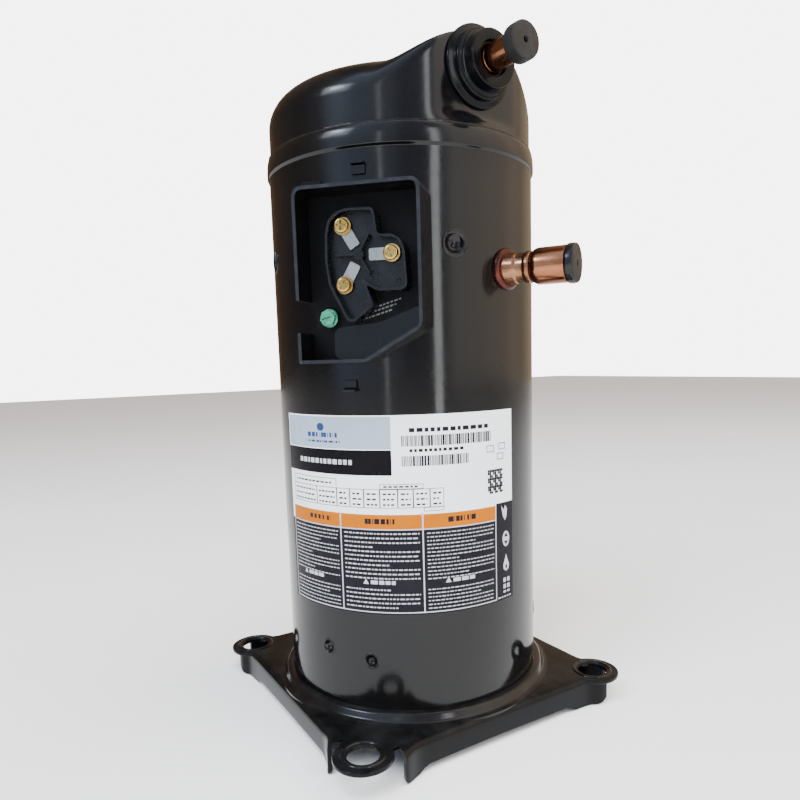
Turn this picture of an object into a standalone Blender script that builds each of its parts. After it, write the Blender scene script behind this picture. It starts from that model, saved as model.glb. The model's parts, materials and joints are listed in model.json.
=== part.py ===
"""Hermetic scroll compressor, upright: shell, base, terminal box, stubs, and the pump and motor inside.

The frame is +Z up with the origin on the shell's axis, in the plane that the base's feet rest on.
X and Y run parallel to the base plate's sides. Outlines below are in millimetres; MM turns them to metres.
"""

import math

import bmesh
import bpy
from mathutils import Matrix

MM = 0.001
GAP = 0.3  # between pieces that touch on the real object

# How many sides a round piece has.
LARGE_STEPS = 40
MIDDLE_STEPS = 28
SMALL_STEPS = 16
FINE_STEPS = 10
HEX_STEPS = 6
SHARP_ANGLE = math.radians(35)

# Shell and cap
SHELL_R = 92.0
SHELL_WALL = 3.5
SHELL_BORE = SHELL_R - SHELL_WALL
INSIDE_R = SHELL_BORE - GAP - 0.2
SHELL_LOW = 14.0
RIM_R = 93.4
RIM_BORE = 91.3
RIM_LOW = 375.0
RIM_TOP = 388.0
CAP_R = RIM_BORE - 2 * GAP
CAP_WALL = 3.2
CAP_LOW = 383.3
CAP_TOP = 428.2
CAP_SHOULDER = 21.5
HUMP_START = 60.0
HUMP_LENGTH = 51.0
HUMP_RISE = 45.0
HUMP_FALL = 20.0
CAP_FLAT_X = 86.0
CAP_FLAT_LOW = 397.0

# Base plate
PLATE_TOP = 20.5
PLATE_T = 3.0
FOOT_PITCH = 190.5
FOOT_XY = FOOT_PITCH / 2
FOOT_HOLE_R = 10.0
LOBE_R = 19.3
FLANGE_OUT = 104.0
FLANGE_SHORT_END = 74.0
FLANGE_LONG_END = 96.0
FLANGE_ARCH = 4.0
FLANGE_FLARE = 4.8
COLLAR_TOP = 26.0

# Stubs. The discharge one is radial. The suction one meets the shell at one azimuth and points along another.
DISCHARGE_AZ = 2.5
DISCHARGE_Z = 423.5
DISCHARGE_HOLE_R = 10.3
SUCTION_AZ = 14.0
SUCTION_POINTS_AT = 30.0
SUCTION_Z = 305.5
SUCTION_HOLE_R = 10.1
SUCTION_NECK_R = 9.75
SUCTION_NECK_BORE = 8.9

# Terminal box: faces this azimuth; u runs across it and d straight out from the shell's axis
BOX_AZ = -45.0
BOX_LEFT = -36.5
BOX_RIGHT = 38.3
BOX_LOW = 249.5
BOX_HIGH = 349.5
BOX_RIM_D = 115.5
BOX_FLOOR_D = 92.9
BOX_WALL = 2.0
CABLE_LOW = 267.5
CABLE_HIGH = 286.0
TERMINAL_U = -1.0
TERMINAL_Z = 311.5
TERMINAL_HOLE_R = 16.0
SCREW_CIRCLE_R = 19.4
PIN_CIRCLE_R = 9.5
PIN_R = 1.6
SCREW_R = 2.3
SCREW_ANGLES = (120.0, 0.0, 240.0)
BLOCK_BACK_D = BOX_FLOOR_D + 2.4
BLOCK_FACE_D = 101.0
BLOCK_RIM_D = 107.0
GROUND_U = -22.8
GROUND_Z = 276.3

# Motor
STATOR_LOW = 110.0
STATOR_HIGH = 200.0
STATOR_BORE = 51.0
SLOTS = 24
ROTOR_R = 50.2
SHAFT_R = 15.0
SHAFT_BORE = SHAFT_R + 0.4
LOW_JOURNAL_R = 11.0
LOW_JOURNAL_BORE = LOW_JOURNAL_R + 0.4

# Pump
CRANK_THROW = 4.9
CRANK_PIN_R = 9.0
BUSHING_R = 13.0
BUSHING_TRAVEL = 1.5
WRAP_BASE_R = 3.0
WRAP_HALF_T = 1.95
WRAP_START = 4.2
WRAP_TURNS = 2.6
WRAP_STEPS_PER_TURN = 20
ORBITING_LOW = 329.0
ORBITING_TOP = 338.0
ORBITING_R = 68.0
FIXED_LOW = 366.3
FIXED_TOP = 378.0
LEG_AZ = -11.5
LEGS = 4
BOLT_CIRCLE_R = 81.5
BOLT_R = 3.6
KEY_R = 62.0
KEY_HALF_WIDTH = 4.0
KEY_HALF_LENGTH = 4.5
LOWER_LEG_AZ = -59.0


def smoothstep(value):
    value = min(max(value, 0.0), 1.0)
    return value * value * (3 - 2 * value)


def polar(radius, degrees):
    angle = math.radians(degrees)
    return (radius * math.cos(angle), radius * math.sin(angle))


def arc(centre, radius, start, end, steps):
    """Points along an arc, both ends included, as (x, y) in mm and angles in degrees."""
    points = []
    for i in range(steps + 1):
        x, y = polar(radius, start + (end - start) * i / steps)
        points.append((centre[0] + x, centre[1] + y))
    return points


def circle(centre, radius, steps):
    return arc(centre, radius, 0, 360 * (steps - 1) / steps, steps - 1)


def sector(inner, outer, middle, half_angle, steps=4):
    """The outline of a part of a ring, between two radii."""
    out = arc((0, 0), outer, middle - half_angle, middle + half_angle, steps)
    back = arc((0, 0), inner, middle + half_angle, middle - half_angle, steps)
    return out + back


def inset(outline, distance):
    """A counter-clockwise outline moved inward by a distance, with mitred corners."""
    count = len(outline)
    moved = []
    for i in range(count):
        before, here, after = outline[i - 1], outline[i], outline[(i + 1) % count]
        ax, ay = here[0] - before[0], here[1] - before[1]
        bx, by = after[0] - here[0], after[1] - here[1]
        la, lb = math.hypot(ax, ay), math.hypot(bx, by)
        ax, ay, bx, by = ax / la, ay / la, bx / lb, by / lb
        scale = distance / (1 + ax * bx + ay * by)
        moved.append((here[0] - (ay + by) * scale, here[1] + (ax + bx) * scale))
    return moved


def turned(profile, steps):
    """A closed outline of (radius, height) points spun once round the Z axis."""
    shape = bmesh.new()
    points = [shape.verts.new((radius * MM, 0, height * MM)) for radius, height in profile]
    for i, point in enumerate(points):
        after = (i + 1) % len(points)
        if profile[i][0] > 0 or profile[after][0] > 0:
            shape.edges.new((point, points[after]))
    everything = shape.verts[:] + shape.edges[:]
    bmesh.ops.spin(
        shape, geom=everything, cent=(0, 0, 0), axis=(0, 0, 1), angle=math.tau, steps=steps, use_merge=True
    )
    bmesh.ops.remove_doubles(shape, verts=shape.verts, dist=1e-7)
    bmesh.ops.recalc_face_normals(shape, faces=shape.faces)
    return shape


def cylinder(radius, low, high, steps=SMALL_STEPS):
    return turned([(0, low), (radius, low), (radius, high), (0, high)], steps)


def plate(outlines, low, high):
    """Outlines of (x, y) points, the first one round the others, filled and extruded in height."""
    shape = bmesh.new()
    for outline in outlines:
        points = [shape.verts.new((x * MM, y * MM, low * MM)) for x, y in outline]
        for i, point in enumerate(points):
            shape.edges.new((point, points[(i + 1) % len(points)]))
    bmesh.ops.triangle_fill(shape, use_beauty=True, use_dissolve=False, edges=shape.edges[:])
    lifted = bmesh.ops.extrude_face_region(shape, geom=shape.faces[:])
    upper = [item for item in lifted["geom"] if isinstance(item, bmesh.types.BMVert)]
    bmesh.ops.translate(shape, vec=(0, 0, (high - low) * MM), verts=upper)
    bmesh.ops.recalc_face_normals(shape, faces=shape.faces)
    return shape


def block(low, high):
    """A box between two corners."""
    outline = [(low[0], low[1]), (high[0], low[1]), (high[0], high[1]), (low[0], high[1])]
    return plate([outline], low[2], high[2])


def moved(shape, matrix):
    shape.transform(matrix)
    return shape


def shift(x, y, z):
    return Matrix.Translation((x * MM, y * MM, z * MM))


def turn(degrees, axis="Z"):
    return Matrix.Rotation(math.radians(degrees), 4, axis)


def radial(azimuth, height):
    """Takes +Z to a level line that leaves the shell's axis at an azimuth and a height."""
    return shift(0, 0, height) @ turn(azimuth) @ turn(90, "Y")


def suction_line():
    """Takes +Z to the suction stub's axis, with its origin where that axis crosses the shell's surface."""
    x, y = polar(SHELL_R, SUCTION_AZ)
    return shift(x, y, SUCTION_Z) @ turn(SUCTION_POINTS_AT) @ turn(90, "Y")


# In the terminal box's own frame X is d, Y is u and Z is height. A plate's outline is (u, height).
FACE_ON = Matrix(((0, 0, 1, 0), (1, 0, 0, 0), (0, 1, 0, 0), (0, 0, 0, 1)))


def facing(outlines, near, far):
    """A plate whose outline is (u, height) and which is extruded from d = near to d = far."""
    return moved(plate(outlines, near, far), FACE_ON)


def facing_turned(profile, steps, across, height):
    """A turned piece whose axis points straight out of the terminal box."""
    return moved(turned(profile, steps), shift(0, across, height) @ FACE_ON)


def temporary(shape):
    mesh = bpy.data.meshes.new("temporary")
    shape.to_mesh(mesh)
    shape.free()
    thing = bpy.data.objects.new("temporary", mesh)
    bpy.context.scene.collection.objects.link(thing)
    return thing


def boolean(operation, body, others):
    """The body after an exact Boolean with each of the others in turn."""
    things = [temporary(shape) for shape in [body] + others]
    for other in things[1:]:
        step = things[0].modifiers.new("boolean", "BOOLEAN")
        step.operation = operation
        step.object = other
    bpy.context.view_layer.update()
    result = bmesh.new()
    result.from_object(things[0], bpy.context.evaluated_depsgraph_get())
    for thing in things:
        bpy.data.objects.remove(thing)
    bmesh.ops.remove_doubles(result, verts=result.verts, dist=1e-6)
    return result


def carved(body, cutters):
    return boolean("DIFFERENCE", body, cutters)


def welded(body, others):
    return boolean("UNION", body, others)


def finish(name, colour, roughness, metallic):
    """A plain surface: a Principled material with one colour."""
    made = bpy.data.materials.new(name)
    made.use_nodes = True
    made.diffuse_color = (*colour, 1)
    shader = made.node_tree.nodes["Principled BSDF"]
    shader.inputs["Base Color"].default_value = (*colour, 1)
    shader.inputs["Roughness"].default_value = roughness
    shader.inputs["Metallic"].default_value = metallic
    return made


def empty(name, matrix, parent=None):
    marker = bpy.data.objects.new(name, None)
    marker.empty_display_size = 20 * MM
    marker.matrix_world = matrix
    marker.parent = parent
    bpy.context.scene.collection.objects.link(marker)
    return marker


def piece(name, shape, look, parent=None, at=(0, 0, 0)):
    """Makes the shape a named object with a material, at a place given in mm in its parent's frame."""
    mesh = bpy.data.meshes.new(name)
    shape.to_mesh(mesh)
    shape.free()
    mesh.materials.append(look)
    mesh.shade_smooth()
    mesh.set_sharp_from_angle(angle=SHARP_ANGLE)
    thing = bpy.data.objects.new(name, mesh)
    thing.location = [value * MM for value in at]
    thing.parent = parent
    bpy.context.scene.collection.objects.link(thing)
    return thing


# Shell, caps and base


def shell_tube():
    profile = [
        (SHELL_R, SHELL_LOW),
        (SHELL_R, RIM_LOW),
        (RIM_R, RIM_LOW + 4),
        (RIM_R, RIM_TOP - 1),
        (RIM_R - 0.7, RIM_TOP),
        (RIM_BORE, RIM_TOP),
        (RIM_BORE, RIM_LOW + 4.2),
        (SHELL_BORE, RIM_LOW + 1),
        (SHELL_BORE, SHELL_LOW),
    ]
    suction_hole = moved(cylinder(SUCTION_HOLE_R, -15, 15), suction_line())
    terminal_hole = moved(cylinder(TERMINAL_HOLE_R, 75, 100), shift(0, TERMINAL_U, TERMINAL_Z) @ FACE_ON)
    terminal_hole = moved(terminal_hole, turn(BOX_AZ))
    return carved(turned(profile, LARGE_STEPS), [suction_hole, terminal_hole])


def cap_height(x, y):
    """The cap's height before its shoulder is rounded: level, then rising to a hump towards +X."""
    rise = smoothstep((x - HUMP_START) / HUMP_LENGTH)
    return CAP_TOP + rise * (HUMP_RISE - HUMP_FALL * (y / CAP_R) ** 2)


def cap_ring(shape, radius, level, flat_x, flat_low):
    """One ring of points. level(x, y) is their height, and those above flat_low stay within x = flat_x."""
    points = []
    for x, y in circle((0, 0), radius, LARGE_STEPS):
        z = level(x, y)
        if z >= flat_low:
            x = min(x, flat_x)
        points.append(shape.verts.new((x * MM, y * MM, z * MM)))
    return points


def cap_skin(shape, offset, wall_levels, shoulder_steps, crown_radii):
    """The cap's outer skin, or its inner one when offset is the wall's thickness, as rings from the rim up."""
    radius = CAP_R - offset
    shoulder = CAP_SHOULDER - offset
    flat_x = CAP_FLAT_X - offset
    flat_low = CAP_FLAT_LOW - offset
    rings = []
    for height in wall_levels:
        rings.append(cap_ring(shape, radius, lambda x, y, z=height: z, flat_x, flat_low))
    for i in range(shoulder_steps + 1):
        angle = math.pi / 2 * i / shoulder_steps
        reach = radius - shoulder * (1 - math.cos(angle))
        drop = offset + shoulder * (1 - math.sin(angle))
        rings.append(cap_ring(shape, reach, lambda x, y, d=drop: cap_height(x, y) - d, flat_x, flat_low))
    for reach in crown_radii:
        rings.append(cap_ring(shape, reach, lambda x, y: cap_height(x, y) - offset, flat_x, flat_low))
    for lower, upper in zip(rings, rings[1:]):
        for i in range(LARGE_STEPS):
            after = (i + 1) % LARGE_STEPS
            shape.faces.new((lower[i], lower[after], upper[after], upper[i]))
    shape.faces.new(rings[-1])
    return rings[0]


def top_cap():
    shape = bmesh.new()
    outer = cap_skin(shape, 0, (CAP_LOW, CAP_FLAT_LOW - 6, CAP_FLAT_LOW), 5, (58, 44, 20))
    inner = cap_skin(shape, CAP_WALL, (CAP_LOW, CAP_FLAT_LOW - 9.2, CAP_FLAT_LOW - 3.2), 3, (52, 20))
    for i in range(LARGE_STEPS):
        after = (i + 1) % LARGE_STEPS
        shape.faces.new((outer[i], inner[i], inner[after], outer[after]))
    bmesh.ops.recalc_face_normals(shape, faces=shape.faces)
    shape = moved(shape, turn(DISCHARGE_AZ))
    return carved(shape, [moved(cylinder(DISCHARGE_HOLE_R, 70, 100), radial(DISCHARGE_AZ, DISCHARGE_Z))])


def bottom_cap():
    skirt_top = 32.0
    corner = 28.0
    wall = 3.5
    centre = (INSIDE_R - corner, corner)
    outer = arc(centre, corner, -90, 0, 4)
    inner = arc(centre, corner - wall, 0, -90, 3)
    profile = [(0, 0)] + outer + [(INSIDE_R, skirt_top), (INSIDE_R - wall, skirt_top)] + inner + [(0, wall)]
    return turned(profile, MIDDLE_STEPS)


def side_flange(hand):
    """One side of the base, along +X: its edge bent down to two feet. hand is 1 with the long foot at +Y, or -1.

    The long foot passes outside its corner's hole, so there the section has only the wall.
    """
    low = PLATE_TOP - PLATE_T
    root = 86.0
    bend = 3.0
    short_foot = [(-FLANGE_SHORT_END, 0, FLANGE_FLARE), (-66, 0, 2), (-62, 0, 0.6), (-54, FLANGE_ARCH, 0)]
    long_foot = [(60, FLANGE_ARCH, 0), (70, 0, 0), (84, 0, 0.6), (88, 0, 3), (92, 0, FLANGE_FLARE)]
    long_foot.append((FLANGE_LONG_END, 2, FLANGE_FLARE))
    shape = bmesh.new()
    sections = []
    for along, foot, flare in short_foot + long_foot:
        outside = FLANGE_OUT + flare
        inside = outside - PLATE_T
        start = inside - GAP if along > 80 else root
        outline = [(start, low + 0.2), (start, PLATE_TOP - 0.2)]
        outline += arc((outside - bend, PLATE_TOP - bend - 0.2), bend, 90, 0, 3)
        outline += [(outside, foot), (inside, foot), (inside, low + 0.2)]
        sections.append([shape.verts.new((x * MM, hand * along * MM, z * MM)) for x, z in outline])
    count = len(sections[0])
    for here, after in zip(sections, sections[1:]):
        for i in range(count):
            j = (i + 1) % count
            shape.faces.new((here[i], here[j], after[j], after[i]))
    shape.faces.new(sections[0])
    shape.faces.new(sections[-1])
    bmesh.ops.recalc_face_normals(shape, faces=shape.faces)
    return shape


def base_plate():
    """A square plate with a round lobe at each corner, feet bent down at its sides and a collar for the shell."""
    low = PLATE_TOP - PLATE_T
    edge = FLANGE_OUT - 5
    reach = math.degrees(math.acos((edge - FOOT_XY) / LOBE_R))
    outline = []
    for quarter in range(4):
        lobe = polar(FOOT_XY * math.sqrt(2), 45 + 90 * quarter)
        outline += arc(lobe, LOBE_R, 90 * quarter - reach, 90 * quarter + 90 + reach, 8)
    corners = [(x * FOOT_XY, y * FOOT_XY) for x in (-1, 1) for y in (-1, 1)]
    holes = [circle(corner, FOOT_HOLE_R, SMALL_STEPS) for corner in corners]
    body = plate([outline, circle((0, 0), SHELL_R + 2, LARGE_STEPS)] + holes, low, PLATE_TOP)
    inner = SHELL_R - 2
    collar = [
        (inner, low + 0.6),
        (101.5, low + 0.6),
        (101.5, PLATE_TOP + 0.1),
        (97.4, PLATE_TOP + 1.6),
        (96.0, PLATE_TOP + 3.4),
        (95.4, COLLAR_TOP),
        (inner, COLLAR_TOP),
    ]
    added = [turned(collar, LARGE_STEPS)]
    for side, hand in enumerate((1, -1, 1, -1)):
        added.append(moved(side_flange(hand), turn(90 * side)))
    return carved(welded(body, added), [cylinder(SHELL_R + GAP, 0, COLLAR_TOP + 5, LARGE_STEPS)])


# Stubs and their plugs, each turned round its own axis. Heights start at the shell's axis for the discharge
# pieces, and at the shell's surface for the suction ones.


def discharge_fitting():
    return turned(
        [
            (10, 77),
            (10, CAP_FLAT_X + GAP),
            (24, CAP_FLAT_X + GAP),
            (24, 88),
            (20.3, 88),
            (20.3, 93),
            (16.5, 93),
            (16.5, 100.7),
            (15.7, 101.5),
            (8.1, 101.5),
            (8.1, 90),
            (5.5, 90),
            (5.5, 84),
            (7.5, 84),
            (7.5, 77),
        ],
        MIDDLE_STEPS,
    )


def discharge_stub():
    return turned([(7.8, 90.3), (7.8, 123.6), (7.4, 124), (6.6, 124), (6.6, 90.3)], SMALL_STEPS)


def discharge_plug():
    return turned(
        [
            (8.1, 119.5),
            (10.1, 119.5),
            (10.5, 119.9),
            (10.5, 127.3),
            (9.8, 128),
            (1.6, 128),
            (1.6, 124.4),
            (8.1, 124.4),
        ],
        SMALL_STEPS,
    )


def check_valve_seat():
    return turned([(4, 77.4), (7.2, 77.4), (7.2, 78.8), (4, 78.8)], SMALL_STEPS)


def check_valve_disc():
    return cylinder(6.4, 79.1, 80.1)


def suction_fitting():
    """A neck through the shell, with a ring on the outside that follows the shell's curve."""
    ring = moved(turned([(0, 88), (13.2, 88), (13.2, 93.8), (12.4, 94.6), (0, 94.6)], SMALL_STEPS),
                 radial(SUCTION_AZ, SUCTION_Z))
    ring = carved(ring, [cylinder(SHELL_R + GAP, SUCTION_Z - 30, SUCTION_Z + 30, LARGE_STEPS)])
    neck = [(0, -5), (SUCTION_NECK_R, -5), (SUCTION_NECK_R, 8), (9.3, 17), (0, 17)]
    neck = moved(turned(neck, SMALL_STEPS), suction_line())
    bore = moved(cylinder(SUCTION_NECK_BORE, -20, 30), suction_line())
    return carved(welded(ring, [neck]), [bore])


def suction_stub():
    return turned(
        [
            (8.6, -4),
            (8.6, 17.3),
            (9.4, 17.3),
            (11.3, 19.8),
            (11.3, 39.4),
            (9.9, 39.4),
            (9.9, 20.8),
            (7.4, 18.3),
            (7.4, -4),
        ],
        SMALL_STEPS,
    )


def suction_plug():
    return turned(
        [
            (0, 28),
            (9, 28),
            (9.6, 29),
            (9.6, 39.7),
            (12.1, 39.7),
            (12.1, 44.7),
            (11.4, 45.4),
            (1.8, 45.4),
            (1.8, 36),
            (0, 36),
        ],
        SMALL_STEPS,
    )


# Terminal box and what is in it, in the frame where X points straight out of it


def box_outline(margin):
    """The box's outline from across and height, with one cut corner, moved inward by a margin."""
    sharp = [(BOX_LEFT, BOX_LOW), (4.5, BOX_LOW), (BOX_RIGHT, BOX_LOW + 19)]
    left, right, high = BOX_LEFT, BOX_RIGHT, BOX_HIGH
    corner = 4
    upper_right = arc((right - corner, high - corner), corner, 0, 90, 3)
    upper_left = arc((left + corner, high - corner), corner, 90, 180, 3)
    return inset(sharp + upper_right + upper_left, margin)


def terminal_box():
    walls = facing([box_outline(0), box_outline(BOX_WALL)], 78, BOX_RIM_D)
    floor = facing([box_outline(BOX_WALL / 2)], BOX_FLOOR_D, BOX_FLOOR_D + 2)
    latch = block((BOX_RIM_D - 5, -30.5, BOX_HIGH - 1), (BOX_RIM_D - 0.4, -18.5, BOX_HIGH + 1.8))
    shell = cylinder(SHELL_R + GAP, 200, 400, LARGE_STEPS)
    shell = moved(shell, turn(-BOX_AZ))
    pins = facing_turned([(0, 80), (TERMINAL_HOLE_R, 80), (TERMINAL_HOLE_R, 110), (0, 110)], SMALL_STEPS,
                         TERMINAL_U, TERMINAL_Z)
    cable = block((70, BOX_LEFT - 5, CABLE_LOW), (BOX_RIM_D + 5, BOX_LEFT + 4, CABLE_HIGH))
    return carved(welded(walls, [floor, latch]), [shell, pins, cable])


def terminal_places():
    """Each terminal screw's angle about the terminal's centre, with its place across and in height."""
    for angle in SCREW_ANGLES:
        u, z = polar(SCREW_CIRCLE_R, angle)
        yield angle, TERMINAL_U + u, TERMINAL_Z + z


def pin_place(angle):
    u, z = polar(PIN_CIRCLE_R, angle)
    return TERMINAL_U + u, TERMINAL_Z + z


def pin_hole(angle, radius, near, far):
    u, z = pin_place(angle)
    return facing_turned([(0, near), (radius, near), (radius, far), (0, far)], FINE_STEPS, u, z)


def hermetic_terminal():
    rim = TERMINAL_HOLE_R - GAP
    cup = [(0, 88), (rim - 1.5, 88), (rim - 1.5, 86.5), (rim, 86.5), (rim, 91.2), (0, 91.2)]
    body = facing_turned(cup, SMALL_STEPS, TERMINAL_U, TERMINAL_Z)
    return carved(body, [pin_hole(angle, PIN_R + GAP, 80, 100) for angle in SCREW_ANGLES])


def terminal_pin(angle):
    return pin_hole(angle, PIN_R, 80, BLOCK_FACE_D)


def block_outline():
    """Three lobes like a pinwheel's, one round each terminal screw, from across and height."""
    outline = [
        (-8.5, -38.2),
        (-4.5, -38.5),
        (8, -29.5),
        (3.6, -17.5),
        (10.5, -21.5),
        (25.5, -21.5),
        (28.2, -19),
        (27, 1),
        (24.8, 7),
        (20, 10),
        (11, 10.4),
        (10.2, 20),
        (9, 25.4),
        (-6, 26),
        (-13, 24.6),
        (-18.3, 20),
        (-20.3, 12),
        (-20.8, -4),
        (-19, -17),
    ]
    return [(u, TERMINAL_Z + z) for u, z in outline]


def terminal_block():
    outline = block_outline()
    body = facing([outline], BLOCK_BACK_D, BLOCK_FACE_D)
    rim = facing([outline, inset(outline, 1.7)], BLOCK_FACE_D - 1, BLOCK_RIM_D)
    cutters = [pin_hole(angle, PIN_R + GAP, 90, 110) for angle in SCREW_ANGLES]
    for _, u, z in terminal_places():
        hole = [(0, 97), (SCREW_R + GAP, 97), (SCREW_R + GAP, 110), (0, 110)]
        cutters.append(facing_turned(hole, FINE_STEPS, u, z))
    return carved(welded(body, [rim]), cutters)


def terminal_tab(angle):
    """A flat blade round a terminal screw, pointing to the middle of the terminal."""
    width = 3.5
    outline = [(-14, -width), (3, -width), (4.4, 0), (3, width), (-14, width)]
    hole = circle((0, 0), SCREW_R + GAP, FINE_STEPS)
    shape = plate([outline, hole], BLOCK_FACE_D + GAP, BLOCK_FACE_D + GAP + 0.9)
    u, z = polar(SCREW_CIRCLE_R, angle)
    place = shift(0, TERMINAL_U + u, TERMINAL_Z + z) @ FACE_ON @ turn(angle)
    return moved(shape, place)


def screw(seat, reach, collar_r, head_r, head_h, steps):
    """A screw seated at a height, with a round collar under a head that has a recess."""
    outer = [(0, seat - reach), (SCREW_R, seat - reach), (SCREW_R, seat), (collar_r, seat)]
    outer += [(collar_r, seat + 1), (head_r, seat + 1), (head_r, seat + head_h - 0.4)]
    outer += [(head_r - 0.5, seat + head_h), (head_r / 2, seat + head_h), (head_r / 2 - 0.3, seat + head_h - 0.8)]
    outer.append((0, seat + head_h - 0.8))
    return turned(outer, steps)


def terminal_screw(u, z):
    shape = screw(BLOCK_FACE_D + 0.9 + 2 * GAP, 4, 5.2, 4.3, 4.2, FINE_STEPS)
    return moved(shape, shift(0, u, z) @ FACE_ON)


def ground_boss():
    boss = [(SCREW_R + GAP, 95.2), (5.2, 95.2), (5.2, 97.4), (SCREW_R + GAP, 97.4)]
    return facing_turned(boss, SMALL_STEPS, GROUND_U, GROUND_Z)


def ground_screw():
    shape = screw(97.7, 2, 5.6, 5.0, 4.4, HEX_STEPS)
    return moved(shape, shift(0, GROUND_U, GROUND_Z) @ FACE_ON)


def cover_clip(step):
    """A tab bent out from the shell, 8 mm wide. step is 1 where its lip is on top and -1 where it is below."""
    foot = SHELL_R + GAP
    outline = [(foot, 0), (foot + 1.5, 0), (foot + 1.5, 5.5 * step), (foot + 4.5, 5.5 * step)]
    outline += [(foot + 4.5, 7 * step), (foot, 7 * step)]
    return moved(plate([outline], -4, 4), turn(90, "X"))


def label():
    """A thin wrap on the shell, over the arc and the heights that the rating panel takes."""
    inner, outer = SHELL_R + GAP, SHELL_R + GAP + 0.3
    steps = 14
    outline = arc((0, 0), outer, -91.4, 15.9, steps) + arc((0, 0), inner, 15.9, -91.4, steps)
    return plate([outline], 90, 217)


# Motor


def stator_core():
    outline = circle((0, 0), INSIDE_R, LARGE_STEPS)
    for i, point in enumerate(outline):
        if i % 10 in (4, 5, 6):
            outline[i] = (point[0] * 0.965, point[1] * 0.965)
    bore = []
    pitch = 360 / SLOTS
    for slot in range(SLOTS):
        middle = slot * pitch
        bore.append(polar(STATOR_BORE, middle - 1.4))
        bore.append(polar(55, middle - 3.6))
        bore.append(polar(77, middle - 4.2))
        bore.append(polar(77, middle + 4.2))
        bore.append(polar(55, middle + 3.6))
        bore.append(polar(STATOR_BORE, middle + 1.4))
    return plate([outline, bore], STATOR_LOW, STATOR_HIGH)


def winding(low, high):
    """A round-edged ring of end turns."""
    inner, outer, round_off = 55, 82, 6
    profile = arc((inner + round_off, low + round_off), round_off, 180, 270, 2)
    profile += arc((outer - round_off, low + round_off), round_off, 270, 360, 2)
    profile += arc((outer - round_off, high - round_off), round_off, 0, 90, 2)
    profile += arc((inner + round_off, high - round_off), round_off, 90, 180, 2)
    return turned(profile, SMALL_STEPS + 8)


def motor_protector():
    can = [(0, 232.3), (9, 232.3), (9.6, 233), (9.6, 237.6), (8.6, 238.6), (0, 238.6)]
    x, y = polar(68, 200)
    return moved(turned(can, SMALL_STEPS), shift(x, y, 0))


def rotor_core():
    low, high = STATOR_LOW + 2, STATOR_HIGH - 2
    return turned([(SHAFT_BORE, low), (ROTOR_R, low), (ROTOR_R, high), (SHAFT_BORE, high)], MIDDLE_STEPS)


def end_ring(low, high):
    outer = ROTOR_R - 0.8
    return turned([(28, low), (outer, low), (outer, high - 1), (outer - 1, high), (28, high)], MIDDLE_STEPS)


def counterweight(middle, low, high):
    return plate([sector(SHAFT_BORE, 46, middle, 68, 12)], low, high)


def crankshaft():
    """The shaft with its lower journal, main journal and crank pin, and an oil bore up from below."""
    bore = 3.2
    profile = [
        (bore, 47),
        (LOW_JOURNAL_R - 0.6, 47),
        (LOW_JOURNAL_R, 47.6),
        (LOW_JOURNAL_R, 78),
        (SHAFT_R, 78),
        (SHAFT_R, 293.5),
        (SHAFT_R - 1, 294.5),
        (0, 294.5),
        (0, 120),
        (bore, 120),
    ]
    pin = moved(cylinder(CRANK_PIN_R, 290, 322, MIDDLE_STEPS), shift(0, CRANK_THROW, 0))
    return welded(turned(profile, MIDDLE_STEPS), [pin])


def oil_pickup():
    return turned([(8, 46.7), (9.5, 46.7), (9.5, 40), (5.5, 22), (3.5, 22), (8, 40.5)], SMALL_STEPS)


# Bearings and housings


def lower_bearing_housing():
    hub = turned([(14.5, 50), (24, 50), (24, 73), (22, 75), (14.5, 75)], MIDDLE_STEPS)
    arms = []
    for leg in range(3):
        azimuth = LOWER_LEG_AZ + 120 * leg
        arms.append(moved(block((19, -9, 50.8), (82, 9, 59)), turn(azimuth)))
        arms.append(plate([sector(79, INSIDE_R, azimuth, 13)], 50.3, 67))
    return welded(hub, arms)


def lower_bearing_bush():
    return turned([(LOW_JOURNAL_BORE, 50.5), (14.2, 50.5), (14.2, 74.5), (LOW_JOURNAL_BORE, 74.5)], MIDDLE_STEPS)


def thrust_washer():
    return turned([(LOW_JOURNAL_BORE, 75.3), (20, 75.3), (20, 77.7), (LOW_JOURNAL_BORE, 77.7)], MIDDLE_STEPS)


def main_bearing_bush():
    return turned([(SHAFT_BORE, 243.5), (18.2, 243.5), (18.2, 292.5), (SHAFT_BORE, 292.5)], MIDDLE_STEPS)


def main_bearing_housing():
    """Hub, well for the scroll's hub, thrust face, recess and slots for the Oldham ring, and four legs."""
    profile = [
        (18.5, 243),
        (25, 243),
        (25, 284),
        (36, 292),
        (36, 306),
        (75, 311),
        (75, 320),
        (51.5, 320),
        (51.5, 328.5),
        (28.5, 328.5),
        (28.5, 295),
        (18.5, 295),
    ]
    legs = []
    bolt_holes = []
    for leg in range(LEGS):
        azimuth = LEG_AZ + 360 / LEGS * leg
        legs.append(plate([sector(73, INSIDE_R, azimuth, 11)], 309.5, 328.7))
        legs.append(plate([sector(75, INSIDE_R - 0.4, azimuth, 6.5)], 328, 343.5))
        x, y = polar(BOLT_CIRCLE_R, azimuth)
        bolt_holes.append(moved(cylinder(BOLT_R + 0.35, 322, 350, FINE_STEPS), shift(x, y, 0)))
    reach = KEY_HALF_LENGTH + CRANK_THROW + 0.4
    width = KEY_HALF_WIDTH + 0.4
    slots = [block((side * KEY_R - reach, -width, 315), (side * KEY_R + reach, width, 325)) for side in (-1, 1)]
    body = welded(turned(profile, MIDDLE_STEPS), legs)
    return carved(body, slots + bolt_holes)


# Scrolls and what drives them


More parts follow.
